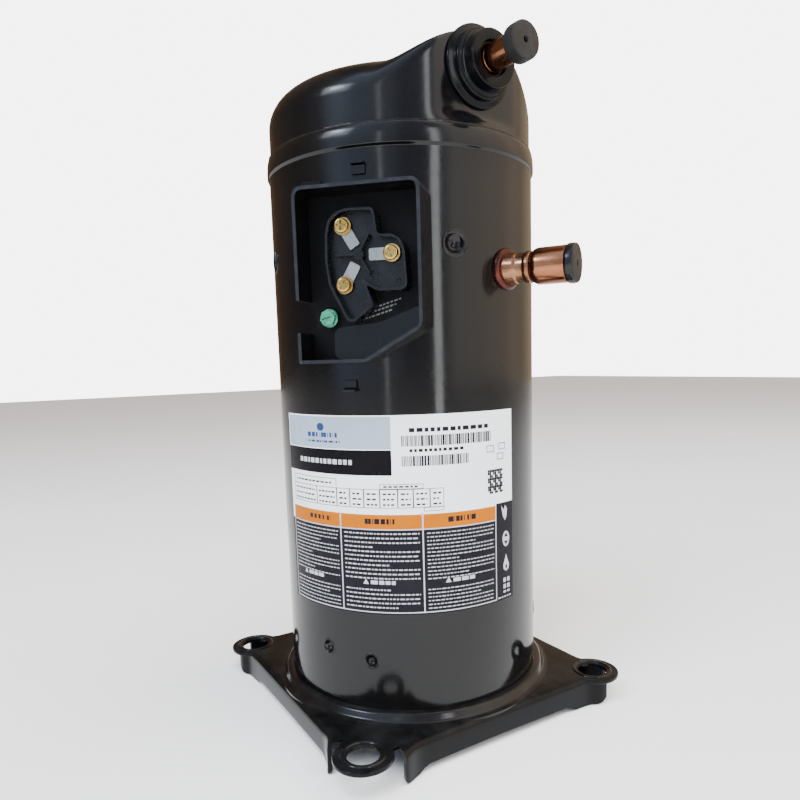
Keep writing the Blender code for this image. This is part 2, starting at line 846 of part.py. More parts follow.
def wrap_outline():
    """A spiral wall of even thickness between two involutes of one base circle."""
    steps = round(WRAP_TURNS * WRAP_STEPS_PER_TURN)
    sides = []
    for half in (WRAP_HALF_T, -WRAP_HALF_T):
        side = []
        for i in range(steps + 1):
            angle = WRAP_START + math.tau * i / WRAP_STEPS_PER_TURN
            unrolled = angle + half / WRAP_BASE_R
            x = WRAP_BASE_R * (math.cos(angle) + unrolled * math.sin(angle))
            y = WRAP_BASE_R * (math.sin(angle) - unrolled * math.cos(angle))
            side.append((x, y))
        sides.append(side)
    return sides[0] + sides[1][::-1]


def orbiting_scroll():
    """Base, wrap and hub, about the hub's own axis, with wide slots for the Oldham ring's upper keys."""
    hub_r, hub_bore = 21, 16.3
    hub_low = 299.5
    base = [
        (0, ORBITING_LOW),
        (hub_bore, ORBITING_LOW),
        (hub_bore, hub_low),
        (hub_r, hub_low),
        (hub_r, ORBITING_LOW),
        (ORBITING_R, ORBITING_LOW),
        (ORBITING_R, ORBITING_TOP),
        (0, ORBITING_TOP),
    ]
    wrap = plate([wrap_outline()], ORBITING_TOP - 1, FIXED_LOW - 0.5)
    body = welded(turned(base, MIDDLE_STEPS), [moved(wrap, turn(180))])
    half = KEY_HALF_WIDTH + 2 * CRANK_THROW + 0.4
    near = KEY_R - KEY_HALF_LENGTH - CRANK_THROW - 0.4
    slot_top = ORBITING_LOW + 4.4
    slots = [
        block((-half, near, ORBITING_LOW - 5), (half, ORBITING_R + 5, slot_top)),
        block((-half, -ORBITING_R - 5, ORBITING_LOW - 5), (half, -near, slot_top)),
    ]
    return carved(body, slots)


def non_orbiting_scroll():
    """Base with the discharge port and the seal's chamber, wrap, outer wall and four lugs for the guide bolts."""
    wall_low = 344
    wall_r = 74.5
    profile = [
        (6, FIXED_LOW),
        (69.4, FIXED_LOW),
        (69.4, wall_low),
        (wall_r, wall_low),
        (wall_r, 375),
        (72.5, 376),
        (60, 376),
        (48.5, FIXED_TOP),
        (48.5, 386),
        (44.2, 386),
        (44.2, 376),
        (27.8, 376),
        (27.8, 386),
        (23.5, 386),
        (23.5, FIXED_TOP),
        (6, FIXED_TOP),
    ]
    added = [plate([wrap_outline()], ORBITING_TOP + 0.4, FIXED_LOW + 1)]
    holes = []
    for lug in range(LEGS):
        azimuth = LEG_AZ + 360 / LEGS * lug
        added.append(plate([sector(72, 87.4, azimuth, 6.3)], wall_low + 0.4, wall_low + 8))
        x, y = polar(BOLT_CIRCLE_R, azimuth)
        holes.append(moved(cylinder(BOLT_R + 0.7, 340, 360, FINE_STEPS), shift(x, y, 0)))
    return carved(welded(turned(profile, MIDDLE_STEPS), added), holes)


def scroll_bolt():
    head = 353.4
    outline = [(0, 324), (BOLT_R, 324), (BOLT_R, head), (6, head), (6, head + 4.6), (5.2, head + 5.2)]
    return turned(outline + [(0, head + 5.2)], FINE_STEPS)


def oldham_ring():
    """A ring with two keys down, along X, and two keys up, along Y."""
    ring_low, ring_top = 320.4, 327.4
    body = plate(
        [circle((0, 0), KEY_R + 5, MIDDLE_STEPS), circle((0, 0), KEY_R - 5, MIDDLE_STEPS)], ring_low, ring_top
    )
    keys = []
    for side in (-1, 1):
        low = (side * KEY_R - KEY_HALF_LENGTH, -KEY_HALF_WIDTH, 315.4)
        high = (side * KEY_R + KEY_HALF_LENGTH, KEY_HALF_WIDTH, ring_low + 1)
        keys.append(block(low, high))
        low = (-KEY_HALF_WIDTH, side * KEY_R - KEY_HALF_LENGTH, ring_top - 1)
        high = (KEY_HALF_WIDTH, side * KEY_R + KEY_HALF_LENGTH, ORBITING_LOW + 3.8)
        keys.append(block(low, high))
    return welded(body, keys)


def drive_bushing():
    """A round bushing with a bore longer than the crank pin is wide, so that it can slide on the pin."""
    bore = CRANK_PIN_R + 0.35
    half = MIDDLE_STEPS // 2
    slot = arc((0, 0), bore, 180, 360, half) + arc((0, BUSHING_TRAVEL), bore, 0, 180, half)
    return plate([circle((0, 0), BUSHING_R, MIDDLE_STEPS), slot], 297.8, 324)


def drive_bearing():
    return turned([(13.4, 300), (16, 300), (16, 326), (13.4, 326)], MIDDLE_STEPS)


def floating_seal():
    low, high = 377.5, 385
    profile = [(28.15, low), (43.85, low), (43.85, high), (34, high + 1.5), (34, 391.3), (30.5, 391.3)]
    return turned(profile + [(30.5, high + 1.5), (28.15, high)], MIDDLE_STEPS)


def discharge_valve():
    return cylinder(9.5, FIXED_TOP + GAP, FIXED_TOP + GAP + 1.2)


def muffler_plate():
    return turned(
        [(CAP_R, 379.5), (CAP_R, CAP_LOW - GAP), (80, CAP_LOW - GAP), (62, 396.5), (19, 396.5), (19, 393), (61, 393), (78.5, 379.5)],
        MIDDLE_STEPS,
    )


def pressure_relief_valve():
    profile = [(0, 396.8), (7, 396.8), (7, 402.5), (4, 403), (4, 407.5), (3, 408.3), (0, 408.3)]
    return moved(turned(profile, FINE_STEPS), shift(-42, 10, 0))


def suction_baffle():
    """A bent sheet that turns the gas coming in, with a foot against the shell at each side."""
    middle = SUCTION_AZ + 2
    half_span, bend, flat = 15.5, 12.5, 10.5
    outer_r, inner_r, foot_r = 81.8, 80.3, 88.0
    outer = [polar(foot_r, middle - half_span), polar(foot_r, middle - bend)]
    outer += arc((0, 0), outer_r, middle - flat, middle + flat, 5)
    outer += [polar(foot_r, middle + bend), polar(foot_r, middle + half_span)]
    inner = [polar(foot_r - 1.5, middle + half_span), polar(foot_r - 1.5, middle + bend + 0.7)]
    inner += arc((0, 0), inner_r, middle + flat + 0.8, middle - flat - 0.8, 5)
    inner += [polar(foot_r - 1.5, middle - bend - 0.7), polar(foot_r - 1.5, middle - half_span)]
    return plate([outer + inner], 288, 332)


def sump_magnet():
    return moved(cylinder(8, 3.9, 8), shift(35, -20, 0))


def build():
    for thing in list(bpy.data.objects):
        bpy.data.objects.remove(thing)

    black = finish("black_paint", (0.013, 0.014, 0.018), 0.25, 0.0)
    copper = finish("copper", (0.72, 0.38, 0.24), 0.32, 1.0)
    plated = finish("copper_plated_steel", (0.62, 0.45, 0.26), 0.35, 1.0)
    rubber = finish("rubber", (0.03, 0.03, 0.03), 0.75, 0.0)
    moulding = finish("black_moulding", (0.05, 0.055, 0.06), 0.45, 0.0)
    tin = finish("tinned_metal", (0.62, 0.6, 0.56), 0.35, 1.0)
    brass = finish("brass", (0.75, 0.6, 0.33), 0.35, 1.0)
    green = finish("green_screw", (0.1, 0.42, 0.27), 0.4, 0.3)
    paper = finish("label_film", (0.7, 0.73, 0.75), 0.45, 0.0)
    steel = finish("machined_steel", (0.5, 0.5, 0.5), 0.35, 1.0)
    iron = finish("cast_iron", (0.22, 0.22, 0.23), 0.6, 0.8)
    aluminium = finish("cast_aluminium", (0.7, 0.7, 0.71), 0.45, 1.0)
    winding_look = finish("winding_enamel", (0.45, 0.16, 0.06), 0.5, 0.2)
    laminations = finish("laminations", (0.25, 0.26, 0.28), 0.5, 0.9)
    bronze = finish("bearing_bronze", (0.5, 0.36, 0.18), 0.4, 1.0)

    piece("shell_tube", shell_tube(), black)
    piece("top_cap", top_cap(), black)
    piece("bottom_cap", bottom_cap(), black)
    piece("base_plate", base_plate(), black)
    piece("label", label(), paper)

    discharge = empty("discharge_axis", radial(DISCHARGE_AZ, DISCHARGE_Z))
    piece("discharge_fitting", discharge_fitting(), black, discharge)
    piece("discharge_stub", discharge_stub(), copper, discharge)
    piece("discharge_plug", discharge_plug(), rubber, discharge)
    piece("check_valve_seat", check_valve_seat(), steel, discharge)
    piece("check_valve_disc", check_valve_disc(), steel, discharge)

    suction = empty("suction_axis", suction_line())
    piece("suction_fitting", suction_fitting(), plated)
    piece("suction_stub", suction_stub(), copper, suction)
    piece("suction_plug", suction_plug(), rubber, suction)

    box = empty("terminal_side", turn(BOX_AZ))
    piece("terminal_box", terminal_box(), black, box)
    piece("terminal_block", terminal_block(), moulding, box)
    piece("hermetic_terminal", hermetic_terminal(), steel, box)
    for number, (angle, u, z) in enumerate(terminal_places(), 1):
        piece(f"terminal_pin_{number}", terminal_pin(angle), tin, box)
        piece(f"terminal_tab_{number}", terminal_tab(angle), tin, box)
        piece(f"terminal_screw_{number}", terminal_screw(u, z), brass, box)
    piece("ground_boss", ground_boss(), black, box)
    piece("ground_screw", ground_screw(), green, box)
    piece("cover_clip_upper", cover_clip(1), black, empty("upper_clip_side", shift(0, 0, 359) @ turn(-46.8)))
    piece("cover_clip_lower", cover_clip(-1), black, empty("lower_clip_side", shift(0, 0, 239) @ turn(-53)))

    piece("stator_core", stator_core(), laminations)
    piece("lower_winding", winding(80, STATOR_LOW - GAP), winding_look)
    piece("upper_winding", winding(STATOR_HIGH + GAP, 232), winding_look)
    piece("motor_protector", motor_protector(), moulding)
    piece("lower_bearing_housing", lower_bearing_housing(), iron)
    piece("lower_bearing_bush", lower_bearing_bush(), bronze)
    piece("thrust_washer", thrust_washer(), steel)
    piece("main_bearing_housing", main_bearing_housing(), iron)
    piece("main_bearing_bush", main_bearing_bush(), bronze)
    piece("muffler_plate", muffler_plate(), steel)
    piece("pressure_relief_valve", pressure_relief_valve(), brass)
    piece("suction_baffle", suction_baffle(), steel)
    piece("sump_magnet", sump_magnet(), iron)
    for number in range(LEGS):
        x, y = polar(BOLT_CIRCLE_R, LEG_AZ + 360 / LEGS * number)
        piece(f"scroll_bolt_{number + 1}", scroll_bolt(), steel, at=(x, y, 0))

    crank = empty("crank_axis", Matrix())
    piece("crankshaft", crankshaft(), steel, crank)
    piece("oil_pickup", oil_pickup(), steel, crank)
    piece("rotor_core", rotor_core(), laminations, crank)
    piece("rotor_lower_ring", end_ring(STATOR_LOW - 5, STATOR_LOW + 1.7), aluminium, crank)
    piece("rotor_upper_ring", end_ring(STATOR_HIGH - 1.7, STATOR_HIGH + 4.2), aluminium, crank)
    piece("upper_counterweight", counterweight(270, STATOR_HIGH + 4.5, 228), iron, crank)
    piece("lower_counterweight", counterweight(90, 90, STATOR_LOW - 5.3), iron, crank)
    throw = empty("crank_pin_axis", shift(0, CRANK_THROW, 0), crank)
    piece("drive_bushing", drive_bushing(), steel, throw)
    piece("drive_bearing", drive_bearing(), bronze, throw)
    piece("orbiting_scroll", orbiting_scroll(), iron, throw)
    piece("oldham_ring", oldham_ring(), aluminium)
    piece("non_orbiting_scroll", non_orbiting_scroll(), iron)
    piece("discharge_valve", discharge_valve(), steel)
    piece("floating_seal", floating_seal(), iron)


build()
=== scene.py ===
"""Looks for the upright scroll compressor: fine meshes, procedural materials, light and a camera.

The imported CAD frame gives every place. Outlines below are in millimetres in the same frame, and MM turns
them to metres. Azimuths are in degrees from +X round the shell's axis.
"""

import json
import math
import random

import bmesh
import bpy
from mathutils import Matrix, Vector

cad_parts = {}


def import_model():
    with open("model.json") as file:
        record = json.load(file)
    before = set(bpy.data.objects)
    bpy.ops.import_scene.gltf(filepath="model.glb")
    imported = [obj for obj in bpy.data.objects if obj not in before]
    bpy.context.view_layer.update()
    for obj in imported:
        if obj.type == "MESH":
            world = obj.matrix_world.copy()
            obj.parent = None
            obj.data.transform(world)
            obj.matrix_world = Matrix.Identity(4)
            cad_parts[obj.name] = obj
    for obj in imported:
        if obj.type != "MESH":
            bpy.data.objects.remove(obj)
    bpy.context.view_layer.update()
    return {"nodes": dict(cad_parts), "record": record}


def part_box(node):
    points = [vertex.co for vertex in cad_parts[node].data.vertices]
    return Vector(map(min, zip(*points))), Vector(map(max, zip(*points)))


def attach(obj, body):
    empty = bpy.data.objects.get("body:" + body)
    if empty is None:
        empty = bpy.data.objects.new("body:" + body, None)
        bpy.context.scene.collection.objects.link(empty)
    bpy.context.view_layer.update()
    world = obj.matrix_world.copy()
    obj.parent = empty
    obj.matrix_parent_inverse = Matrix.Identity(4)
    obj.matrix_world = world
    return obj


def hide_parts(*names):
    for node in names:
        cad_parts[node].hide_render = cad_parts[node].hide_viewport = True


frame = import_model()

MM = 0.001
MERGE_M = 1e-7
HOUSING = "housing"
SLOTS = {entry["material_slot"] for entry in frame["record"]["subparts"]}
SHARP_ANGLE = 35.0
BEVEL_ANGLE = 32
CLEAR = 0.3  # between a piece and the shell

# Specular levels, and the roughness of all noise
PAINT_GLOSS = 0.31
BASE_GLOSS = 0.13
BLOCK_GLOSS = 0.28
# the box floor's painted shade: a lower specular level that keeps the floor dark
FLOOR_SHADE_GLOSS = 0.12
RUBBER_GLOSS = 0.22
FILM_GLOSS = 0.07
NOISE_ROUGHNESS = 0.55


def cad_box(node):
    """A CAD node's box in mm: its lowest and highest corners."""
    low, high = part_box(node)
    return [value / MM for value in low], [value / MM for value in high]


# Shell and cap
SHELL_R = 92.0
SHELL_BORE = 88.5
SHELL_LOW = cad_box("shell_tube")[0][2]
RIM_TOP = cad_box("shell_tube")[1][2]
RIM_R = 93.4
RIM_BORE = 91.3
RIM_HEIGHT = 15.0
BELL_FLARE = 2.2
BELL_LEAN = 1.9
WELD_STEPS = 288
CAP_R = 90.7
CAP_LOW = cad_box("top_cap")[0][2]
CAP_TOP = 428.2
CAP_SHOULDER = 21.5
CAP_WALL = 3.2
HUMP_START = 60.0
HUMP_LENGTH = 51.0
HUMP_RISE = 45.0
HUMP_FALL = 20.0
CAP_FLAT_X = 86.0
CAP_FLAT_LOW = 392.0
CAP_FLAT_BLEND = 9.0
ROUND_STEPS = 192
SPOT_Z = 319.0
SPOT_AZ = -11.5
SPOT_R = 8.3
LOW_SPOT_Z = 60.0
LOW_SPOT_AZ = -59.0
LOW_SPOT_APART = 10.2
LOW_SPOT_R = 5.4

# Base
PLATE_TOP = 20.5
PLATE_T = 3.0
FOOT_XY = 95.25
FOOT_HOLE_R = 10.0
LOBE_R = 18.65
FLANGE_OUT = 104.0
LONG_FOOT_FROM = 80
COLLAR_TOP = cad_box("base_plate")[1][2]

# Stubs
DISCHARGE_AZ = 2.5
DISCHARGE_Z = 423.5
DISCHARGE_HOLE_R = 10.3
SUCTION_AZ = 14.0
SUCTION_POINTS_AT = 30.0
SUCTION_Z = 305.5
SUCTION_HOLE_R = 10.1

# Terminal box
BOX_AZ = -45.0
BOX_LEFT = -36.5
BOX_RIGHT = 38.3
BOX_LOW = 249.5
BOX_HIGH = 349.5
BOX_RIM_D = 115.5
BOX_FLOOR_D = 92.9
BOX_FLOOR_TOP = BOX_FLOOR_D + 2
BOX_WALL = 2.0
CABLE_LOW = 267.5
CABLE_HIGH = 286.0
TERMINAL_U = -1.0
TERMINAL_Z = 311.5
TERMINAL_HOLE_R = 16.0
SCREW_CIRCLE_R = 19.4
SCREW_ANGLES = (120.0, 0.0, 240.0)
BLOCK_BACK_D = 95.3
BLOCK_FACE_D = 101.0
BLOCK_RIM_D = 107.0
GROUND_U = -22.8
GROUND_Z = 276.3
GROUND_SEAT_D = 97.7
BAR_SLOPE = 0.28

# Label
LABEL_FROM = -91.4
LABEL_TO = 15.9
LABEL_LOW = cad_box("label")[0][2]
LABEL_HIGH = cad_box("label")[1][2]
LABEL_R = SHELL_R + CLEAR
HEADING_LOW = 106.0
HEADING_HIGH = 110.5
FILM_T = 0.22
INK_T = 0.03


# ---------------------------------------------------------------- outlines and shapes


def smoothstep(value):
    value = min(max(value, 0.0), 1.0)
    return value * value * (3 - 2 * value)


def polar(radius, degrees):
    angle = math.radians(degrees)
    return (radius * math.cos(angle), radius * math.sin(angle))


def arc(centre, radius, start, end, steps):
    points = []
    for i in range(steps + 1):
        x, y = polar(radius, start + (end - start) * i / steps)
        points.append((centre[0] + x, centre[1] + y))
    return points


def circle(centre, radius, steps):
    return arc(centre, radius, 0, 360 * (steps - 1) / steps, steps - 1)


def rounded(points, size, steps=3):
    """A closed outline whose corners are rounded, except those on the axis.

    size is their reach along the sides, one value or one for each corner.
    """
    out = []
    count = len(points)
    for i in range(count):
        here = Vector(points[i])
        reach = size[i] if isinstance(size, (list, tuple)) else size
        if reach == 0 or here.x == 0:
            out.append(tuple(here))
            continue
        before = Vector(points[i - 1]) - here
        after = Vector(points[(i + 1) % count]) - here
        start = here + before.normalized() * min(reach, before.length * 0.45)
        end = here + after.normalized() * min(reach, after.length * 0.45)
        for k in range(steps + 1):
            t = k / steps
            out.append(tuple(start * (1 - t) ** 2 + here * 2 * t * (1 - t) + end * t ** 2))
    return out


def inset(outline, distance):
    """A counter-clockwise outline moved inward by a distance, with mitred corners."""
    count = len(outline)
    result = []
    for i in range(count):
        before, here, after = outline[i - 1], outline[i], outline[(i + 1) % count]
        ax, ay = here[0] - before[0], here[1] - before[1]
        bx, by = after[0] - here[0], after[1] - here[1]
        la, lb = math.hypot(ax, ay), math.hypot(bx, by)
        ax, ay, bx, by = ax / la, ay / la, bx / lb, by / lb
        scale = distance / (1 + ax * bx + ay * by)
        result.append((here[0] - (ay + by) * scale, here[1] + (ax + bx) * scale))
    return result


def outward(shape):
    """The shape with its faces turned outward."""
    bmesh.ops.recalc_face_normals(shape, faces=shape.faces)
    return shape


def vertices(shape, points):
    """New vertices in a shape, at points in mm."""
    return [shape.verts.new([value * MM for value in point]) for point in points]


def bridge(shape, here, after):
    """Joins two closed rings of vertices with faces."""
    for i in range(len(here)):
        j = (i + 1) % len(here)
        shape.faces.new((here[i], here[j], after[j], after[i]))


def capped(shape, sections):
    """Adds a closed solid through rings of the same number of (x, y, z) points, in mm."""
    rings = [vertices(shape, section) for section in sections]
    for here, after in zip(rings, rings[1:]):
        bridge(shape, here, after)
    shape.faces.new(rings[0][::-1])
    shape.faces.new(rings[-1])
    return shape


def turned(profile, steps=96):
    """A closed outline of (radius, height) points spun once round the Z axis."""
    shape = bmesh.new()
    points = vertices(shape, [(radius, 0, height) for radius, height in profile])
    for i, point in enumerate(points):
        after = (i + 1) % len(points)
        if profile[i][0] > 0 or profile[after][0] > 0:
            shape.edges.new((point, points[after]))
    everything = shape.verts[:] + shape.edges[:]
    bmesh.ops.spin(
        shape, geom=everything, cent=(0, 0, 0), axis=(0, 0, 1), angle=math.tau, steps=steps, use_merge=True
    )
    bmesh.ops.remove_doubles(shape, verts=shape.verts, dist=MERGE_M)
    return outward(shape)


def spun(points, reaches, steps, place=Matrix()):
    """An outline with rounded corners, turned and then placed."""
    return moved(turned(rounded(points, reaches), steps), place)


def cylinder(radius, low, high, steps=64):
    return turned([(0, low), (radius, low), (radius, high), (0, high)], steps)


def plate(outlines, low, high):
    """Outlines of (x, y) points, the first one round the others, filled and extruded in height."""
    shape = bmesh.new()
    for outline in outlines:
        points = [shape.verts.new((x, y, low)) for x, y in outline]
        for i, point in enumerate(points):
            shape.edges.new((point, points[(i + 1) % len(points)]))
    bmesh.ops.triangle_fill(shape, use_beauty=True, use_dissolve=False, edges=shape.edges[:])
    lifted = bmesh.ops.extrude_face_region(shape, geom=shape.faces[:])
    upper = [item for item in lifted["geom"] if isinstance(item, bmesh.types.BMVert)]
    bmesh.ops.translate(shape, vec=(0, 0, high - low), verts=upper)
    return moved(outward(shape), Matrix.Scale(MM, 4))


def block(low, high):
    outline = [(low[0], low[1]), (high[0], low[1]), (high[0], high[1]), (low[0], high[1])]
    return plate([outline], low[2], high[2])


def loft(sections):
    return outward(capped(bmesh.new(), sections))


def moved(shape, matrix):
    shape.transform(matrix)
    return shape


def joined(shapes):
    """Several shapes as one mesh."""
    result = bmesh.new()
    for shape in shapes:
        mesh = bpy.data.meshes.new("part")
        shape.to_mesh(mesh)
        shape.free()
        result.from_mesh(mesh)
        bpy.data.meshes.remove(mesh)
    return result


def shift(x, y, z):
    return Matrix.Translation((x * MM, y * MM, z * MM))


def turn(degrees, axis="Z"):
    return Matrix.Rotation(math.radians(degrees), 4, axis)


def radial(azimuth, height):
    """Takes +Z to a level line that leaves the shell's axis at an azimuth and a height."""
    return shift(0, 0, height) @ turn(azimuth) @ turn(90, "Y")


def suction_line():
    """Takes +Z to the suction stub's axis, with its origin where that axis crosses the shell's surface."""
    x, y = polar(SHELL_R, SUCTION_AZ)
    return shift(x, y, SUCTION_Z) @ turn(SUCTION_POINTS_AT) @ turn(90, "Y")


# In the terminal box's frame X is d, straight out, Y is u, across, and Z is height.
BOX_FRAME = turn(BOX_AZ)
FACE_ON = Matrix(((0, 0, 1, 0), (1, 0, 0, 0), (0, 1, 0, 0), (0, 0, 0, 1)))


def facing(outlines, near, far):
    """A plate whose outline is (u, height), from d = near to d = far, placed on the compressor."""
    return moved(plate(outlines, near, far), BOX_FRAME @ FACE_ON)


def facing_turned(profile, across, height, steps=64):
    return moved(turned(profile, steps), BOX_FRAME @ shift(0, across, height) @ FACE_ON)


def temporary(shape):
    mesh = bpy.data.meshes.new("temporary")
    shape.to_mesh(mesh)
    shape.free()
    thing = bpy.data.objects.new("temporary", mesh)
    bpy.context.scene.collection.objects.link(thing)
    return thing


def boolean(operation, body, others):
    """The body after an exact Boolean with each of the others in turn."""
    things = [temporary(shape) for shape in [body] + others]
    for other in things[1:]:
        step = things[0].modifiers.new("boolean", "BOOLEAN")
        step.operation = operation
        step.object = other
    bpy.context.view_layer.update()
    result = bmesh.new()
    result.from_object(things[0], bpy.context.evaluated_depsgraph_get())
    for thing in things:
        bpy.data.objects.remove(thing)
    bmesh.ops.remove_doubles(result, verts=result.verts, dist=MERGE_M)
    return result


def carved(body, cutters):
    return boolean("DIFFERENCE", body, cutters)


def welded(body, others):
    return boolean("UNION", body, others)


def piece(name, shape, look="black_paint", stands_for=(), body=HOUSING, slot=None, bevel=0.0,
          sharp=SHARP_ANGLE):
    """Makes the shape a visible piece that rides on a body.

    look is a name in LOOKS or a list of them. Edges over sharp degrees stay hard, unless bevel, in mm,
    rounds them.
    """
    mesh = bpy.data.meshes.new(name)
    shape.to_mesh(mesh)
    shape.free()
    looks = look if isinstance(look, list) else [look]
    for one in looks:
        mesh.materials.append(LOOKS[one])
    slot = slot or (looks[0] if looks[0] in SLOTS else "black_paint")
    mesh.shade_smooth()
    if bevel == 0:
        mesh.set_sharp_from_angle(angle=math.radians(sharp))
    thing = bpy.data.objects.new(name, mesh)
    bpy.context.scene.collection.objects.link(thing)
    if bevel > 0:
        rounding = thing.modifiers.new("rounding", "BEVEL")
        rounding.width = bevel * MM
        rounding.segments = 2
        rounding.limit_method = "ANGLE"
        rounding.angle_limit = math.radians(BEVEL_ANGLE)
        rounding.harden_normals = False
        rounding.use_clamp_overlap = True
        normals = thing.modifiers.new("normals", "WEIGHTED_NORMAL")
        normals.keep_sharp = False
        normals.weight = 60
    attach(thing, body)
    if stands_for:
        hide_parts(*stands_for)


# ---------------------------------------------------------------- materials


class Nodes:
    """A node tree that is being filled."""

    def __init__(self, tree):
        self.tree = tree

    def node(self, kind, **settings):
        made = self.tree.nodes.new(kind)
        for name, value in settings.items():
            setattr(made, name, value)
        return made

    def link(self, start, end):
        self.tree.links.new(start, end)

    def mapped(self, value, low, high, to_low, to_high):
        ranged = self.node("ShaderNodeMapRange")
        for name, limit in zip(("From Min", "From Max", "To Min", "To Max"), (low, high, to_low, to_high)):
            ranged.inputs[name].default_value = limit
        self.link(value, ranged.inputs["Value"])
        return ranged.outputs["Result"]

    def math(self, operation, first, second):
        node = self.node("ShaderNodeMath", operation=operation)
        for socket, value in zip(node.inputs, (first, second)):
            if isinstance(value, (int, float)):
                socket.default_value = value
            else:
                self.link(value, socket)
        return node.outputs["Value"]


class Surface(Nodes):
    """A Principled material whose colour, roughness and bump come from noise in the object's own space."""

    def __init__(self, name, colour, metallic=0.0, roughness=0.5, gloss=0.5):
        self.made = bpy.data.materials.new(name)
        self.made.use_nodes = True
        self.made.diffuse_color = (*colour, 1)
        super().__init__(self.made.node_tree)
        self.shader = self.tree.nodes["Principled BSDF"]
        self.shader.inputs["Base Color"].default_value = (*colour, 1)
        self.shader.inputs["Metallic"].default_value = metallic
        self.shader.inputs["Roughness"].default_value = roughness
        self.shader.inputs["Specular IOR Level"].default_value = gloss
        self.roughness = roughness
        self.place = self.node("ShaderNodeTexCoord").outputs["Object"]

    def noise(self, scale, stretch=(1, 1, 1), detail=3.0):
        """Noise with features about 1 / scale metres across, longer along axes with a small stretch."""
        mapping = self.node("ShaderNodeMapping")
        mapping.inputs["Scale"].default_value = stretch
        self.link(self.place, mapping.inputs["Vector"])
        texture = self.node("ShaderNodeTexNoise")
        texture.inputs["Scale"].default_value = scale
        texture.inputs["Detail"].default_value = detail
        texture.inputs["Roughness"].default_value = NOISE_ROUGHNESS
        self.link(mapping.outputs["Vector"], texture.inputs["Vector"])
        return texture.outputs["Fac"]

    def tint(self, factor, other):
        """Blends what the base colour is so far towards another colour."""
        mix = self.node("ShaderNodeMix", data_type="RGBA")
        target = self.shader.inputs["Base Color"]
        if target.is_linked:
            self.link(target.links[0].from_socket, mix.inputs["A"])
        else:
            mix.inputs["A"].default_value = target.default_value
        mix.inputs["B"].default_value = (*other, 1)
        self.link(factor, mix.inputs["Factor"])
        self.link(mix.outputs["Result"], target)
        return self

    def mottle(self, scale, other, low=0.42, high=0.62, strength=1.0, stretch=(1, 1, 1)):
        return self.tint(self.mapped(self.noise(scale, stretch), low, high, 0, strength), other)

    def vary_roughness(self, scale, spread, stretch=(1, 1, 1)):
        limits = self.roughness - spread, self.roughness + spread
        value = self.mapped(self.noise(scale, stretch), 0.35, 0.65, *limits)
        target = self.shader.inputs["Roughness"]
        if target.is_linked:
            change = self.math("SUBTRACT", target.links[0].from_socket, self.roughness)
            value = self.math("ADD", value, change)
        self.link(value, target)
        return self

    def bump(self, scale, distance, stretch=(1, 1, 1), detail=3.0):
        """Adds relief of a height in mm."""
        node = self.node("ShaderNodeBump")
        node.inputs["Strength"].default_value = 1.0
        node.inputs["Distance"].default_value = distance * MM
        self.link(self.noise(scale, stretch, detail), node.inputs["Height"])
        target = self.shader.inputs["Normal"]
        if target.is_linked:
            self.link(target.links[0].from_socket, node.inputs["Normal"])
        self.link(node.outputs["Normal"], target)
        return self

    def dust(self, colour, strength, scale=60.0):
        """Dust that settles on what faces up."""
        split = self.node("ShaderNodeSeparateXYZ")
        self.link(self.node("ShaderNodeNewGeometry").outputs["Normal"], split.inputs["Vector"])
        up = self.mapped(split.outputs["Z"], 0.2, 1.0, 0, strength)
        patches = self.mapped(self.noise(scale, detail=5), 0.35, 0.7, 0, 1)
        return self.tint(self.math("MULTIPLY", up, patches), colour)


def black_paint(name, roughness=0.13, gloss=PAINT_GLOSS):
    """Gloss black enamel with orange peel, faint runs and a little dust."""
    look = Surface(name, (0.0016, 0.0018, 0.0026), roughness=roughness, gloss=gloss)
    look.mottle(9, (0.0030, 0.0028, 0.0026), strength=0.8)
    look.dust((0.022, 0.023, 0.025), 0.3)
    look.vary_roughness(14, 0.035).vary_roughness(420, 0.02)
    look.bump(260, 0.018, detail=2).bump(34, 0.05, stretch=(1, 1, 0.35), detail=1).bump(1500, 0.004)
    return look.made


def metal(name, colour, other, roughness, streak=(1, 1, 1), relief=0.01, stain=None):
    look = Surface(name, colour, metallic=1.0, roughness=roughness)
    look.mottle(120, other, strength=0.75, stretch=streak)
    if stain:
        look.mottle(48, stain, low=0.52, high=0.7, strength=0.7)
    look.vary_roughness(160, 0.06, streak).vary_roughness(900, 0.03)
    look.bump(900, relief, stretch=streak)
    return look.made


def casting(name, colour, other, roughness, relief):
    look = Surface(name, colour, metallic=0.85, roughness=roughness)
    look.mottle(150, other).mottle(700, tuple(value * 0.6 for value in colour), strength=0.5)
    look.vary_roughness(300, 0.08).bump(650, relief, detail=6).bump(1800, relief / 3)
    return look.made


def moulded(name, colour, other, roughness, relief, gloss=0.5):
    look = Surface(name, colour, roughness=roughness, gloss=gloss)
    look.mottle(220, other, strength=0.8).mottle(35, tuple(value * 1.6 for value in colour), strength=0.4)
    look.dust((0.05, 0.05, 0.052), 0.4, scale=140)
    look.vary_roughness(120, 0.07).bump(1100, relief).bump(90, relief * 2, detail=1)
    return look.made


def film(name, colour, other, roughness=0.3):
    """Printed film: even ink with a faint unevenness and a soft sheen."""
    look = Surface(name, colour, roughness=roughness, gloss=FILM_GLOSS)
    look.mottle(28, other, strength=0.6).mottle(900, tuple(value * 0.93 for value in colour), strength=0.5)
    look.vary_roughness(60, 0.05).bump(500, 0.004).bump(25, 0.03, detail=1)
    return look.made


def winding_look():
    """Enamelled wire wound round the ring: fine bands in height and angle."""
    look = Surface("winding_enamel", (0.42, 0.14, 0.05), metallic=0.35, roughness=0.34)
    look.mottle(260, (0.6, 0.24, 0.09), stretch=(0.3, 0.3, 4)).mottle(60, (0.2, 0.06, 0.03), strength=0.6)
    look.vary_roughness(300, 0.08).bump(420, 0.25, stretch=(0.35, 0.35, 3.0))
    return look.made


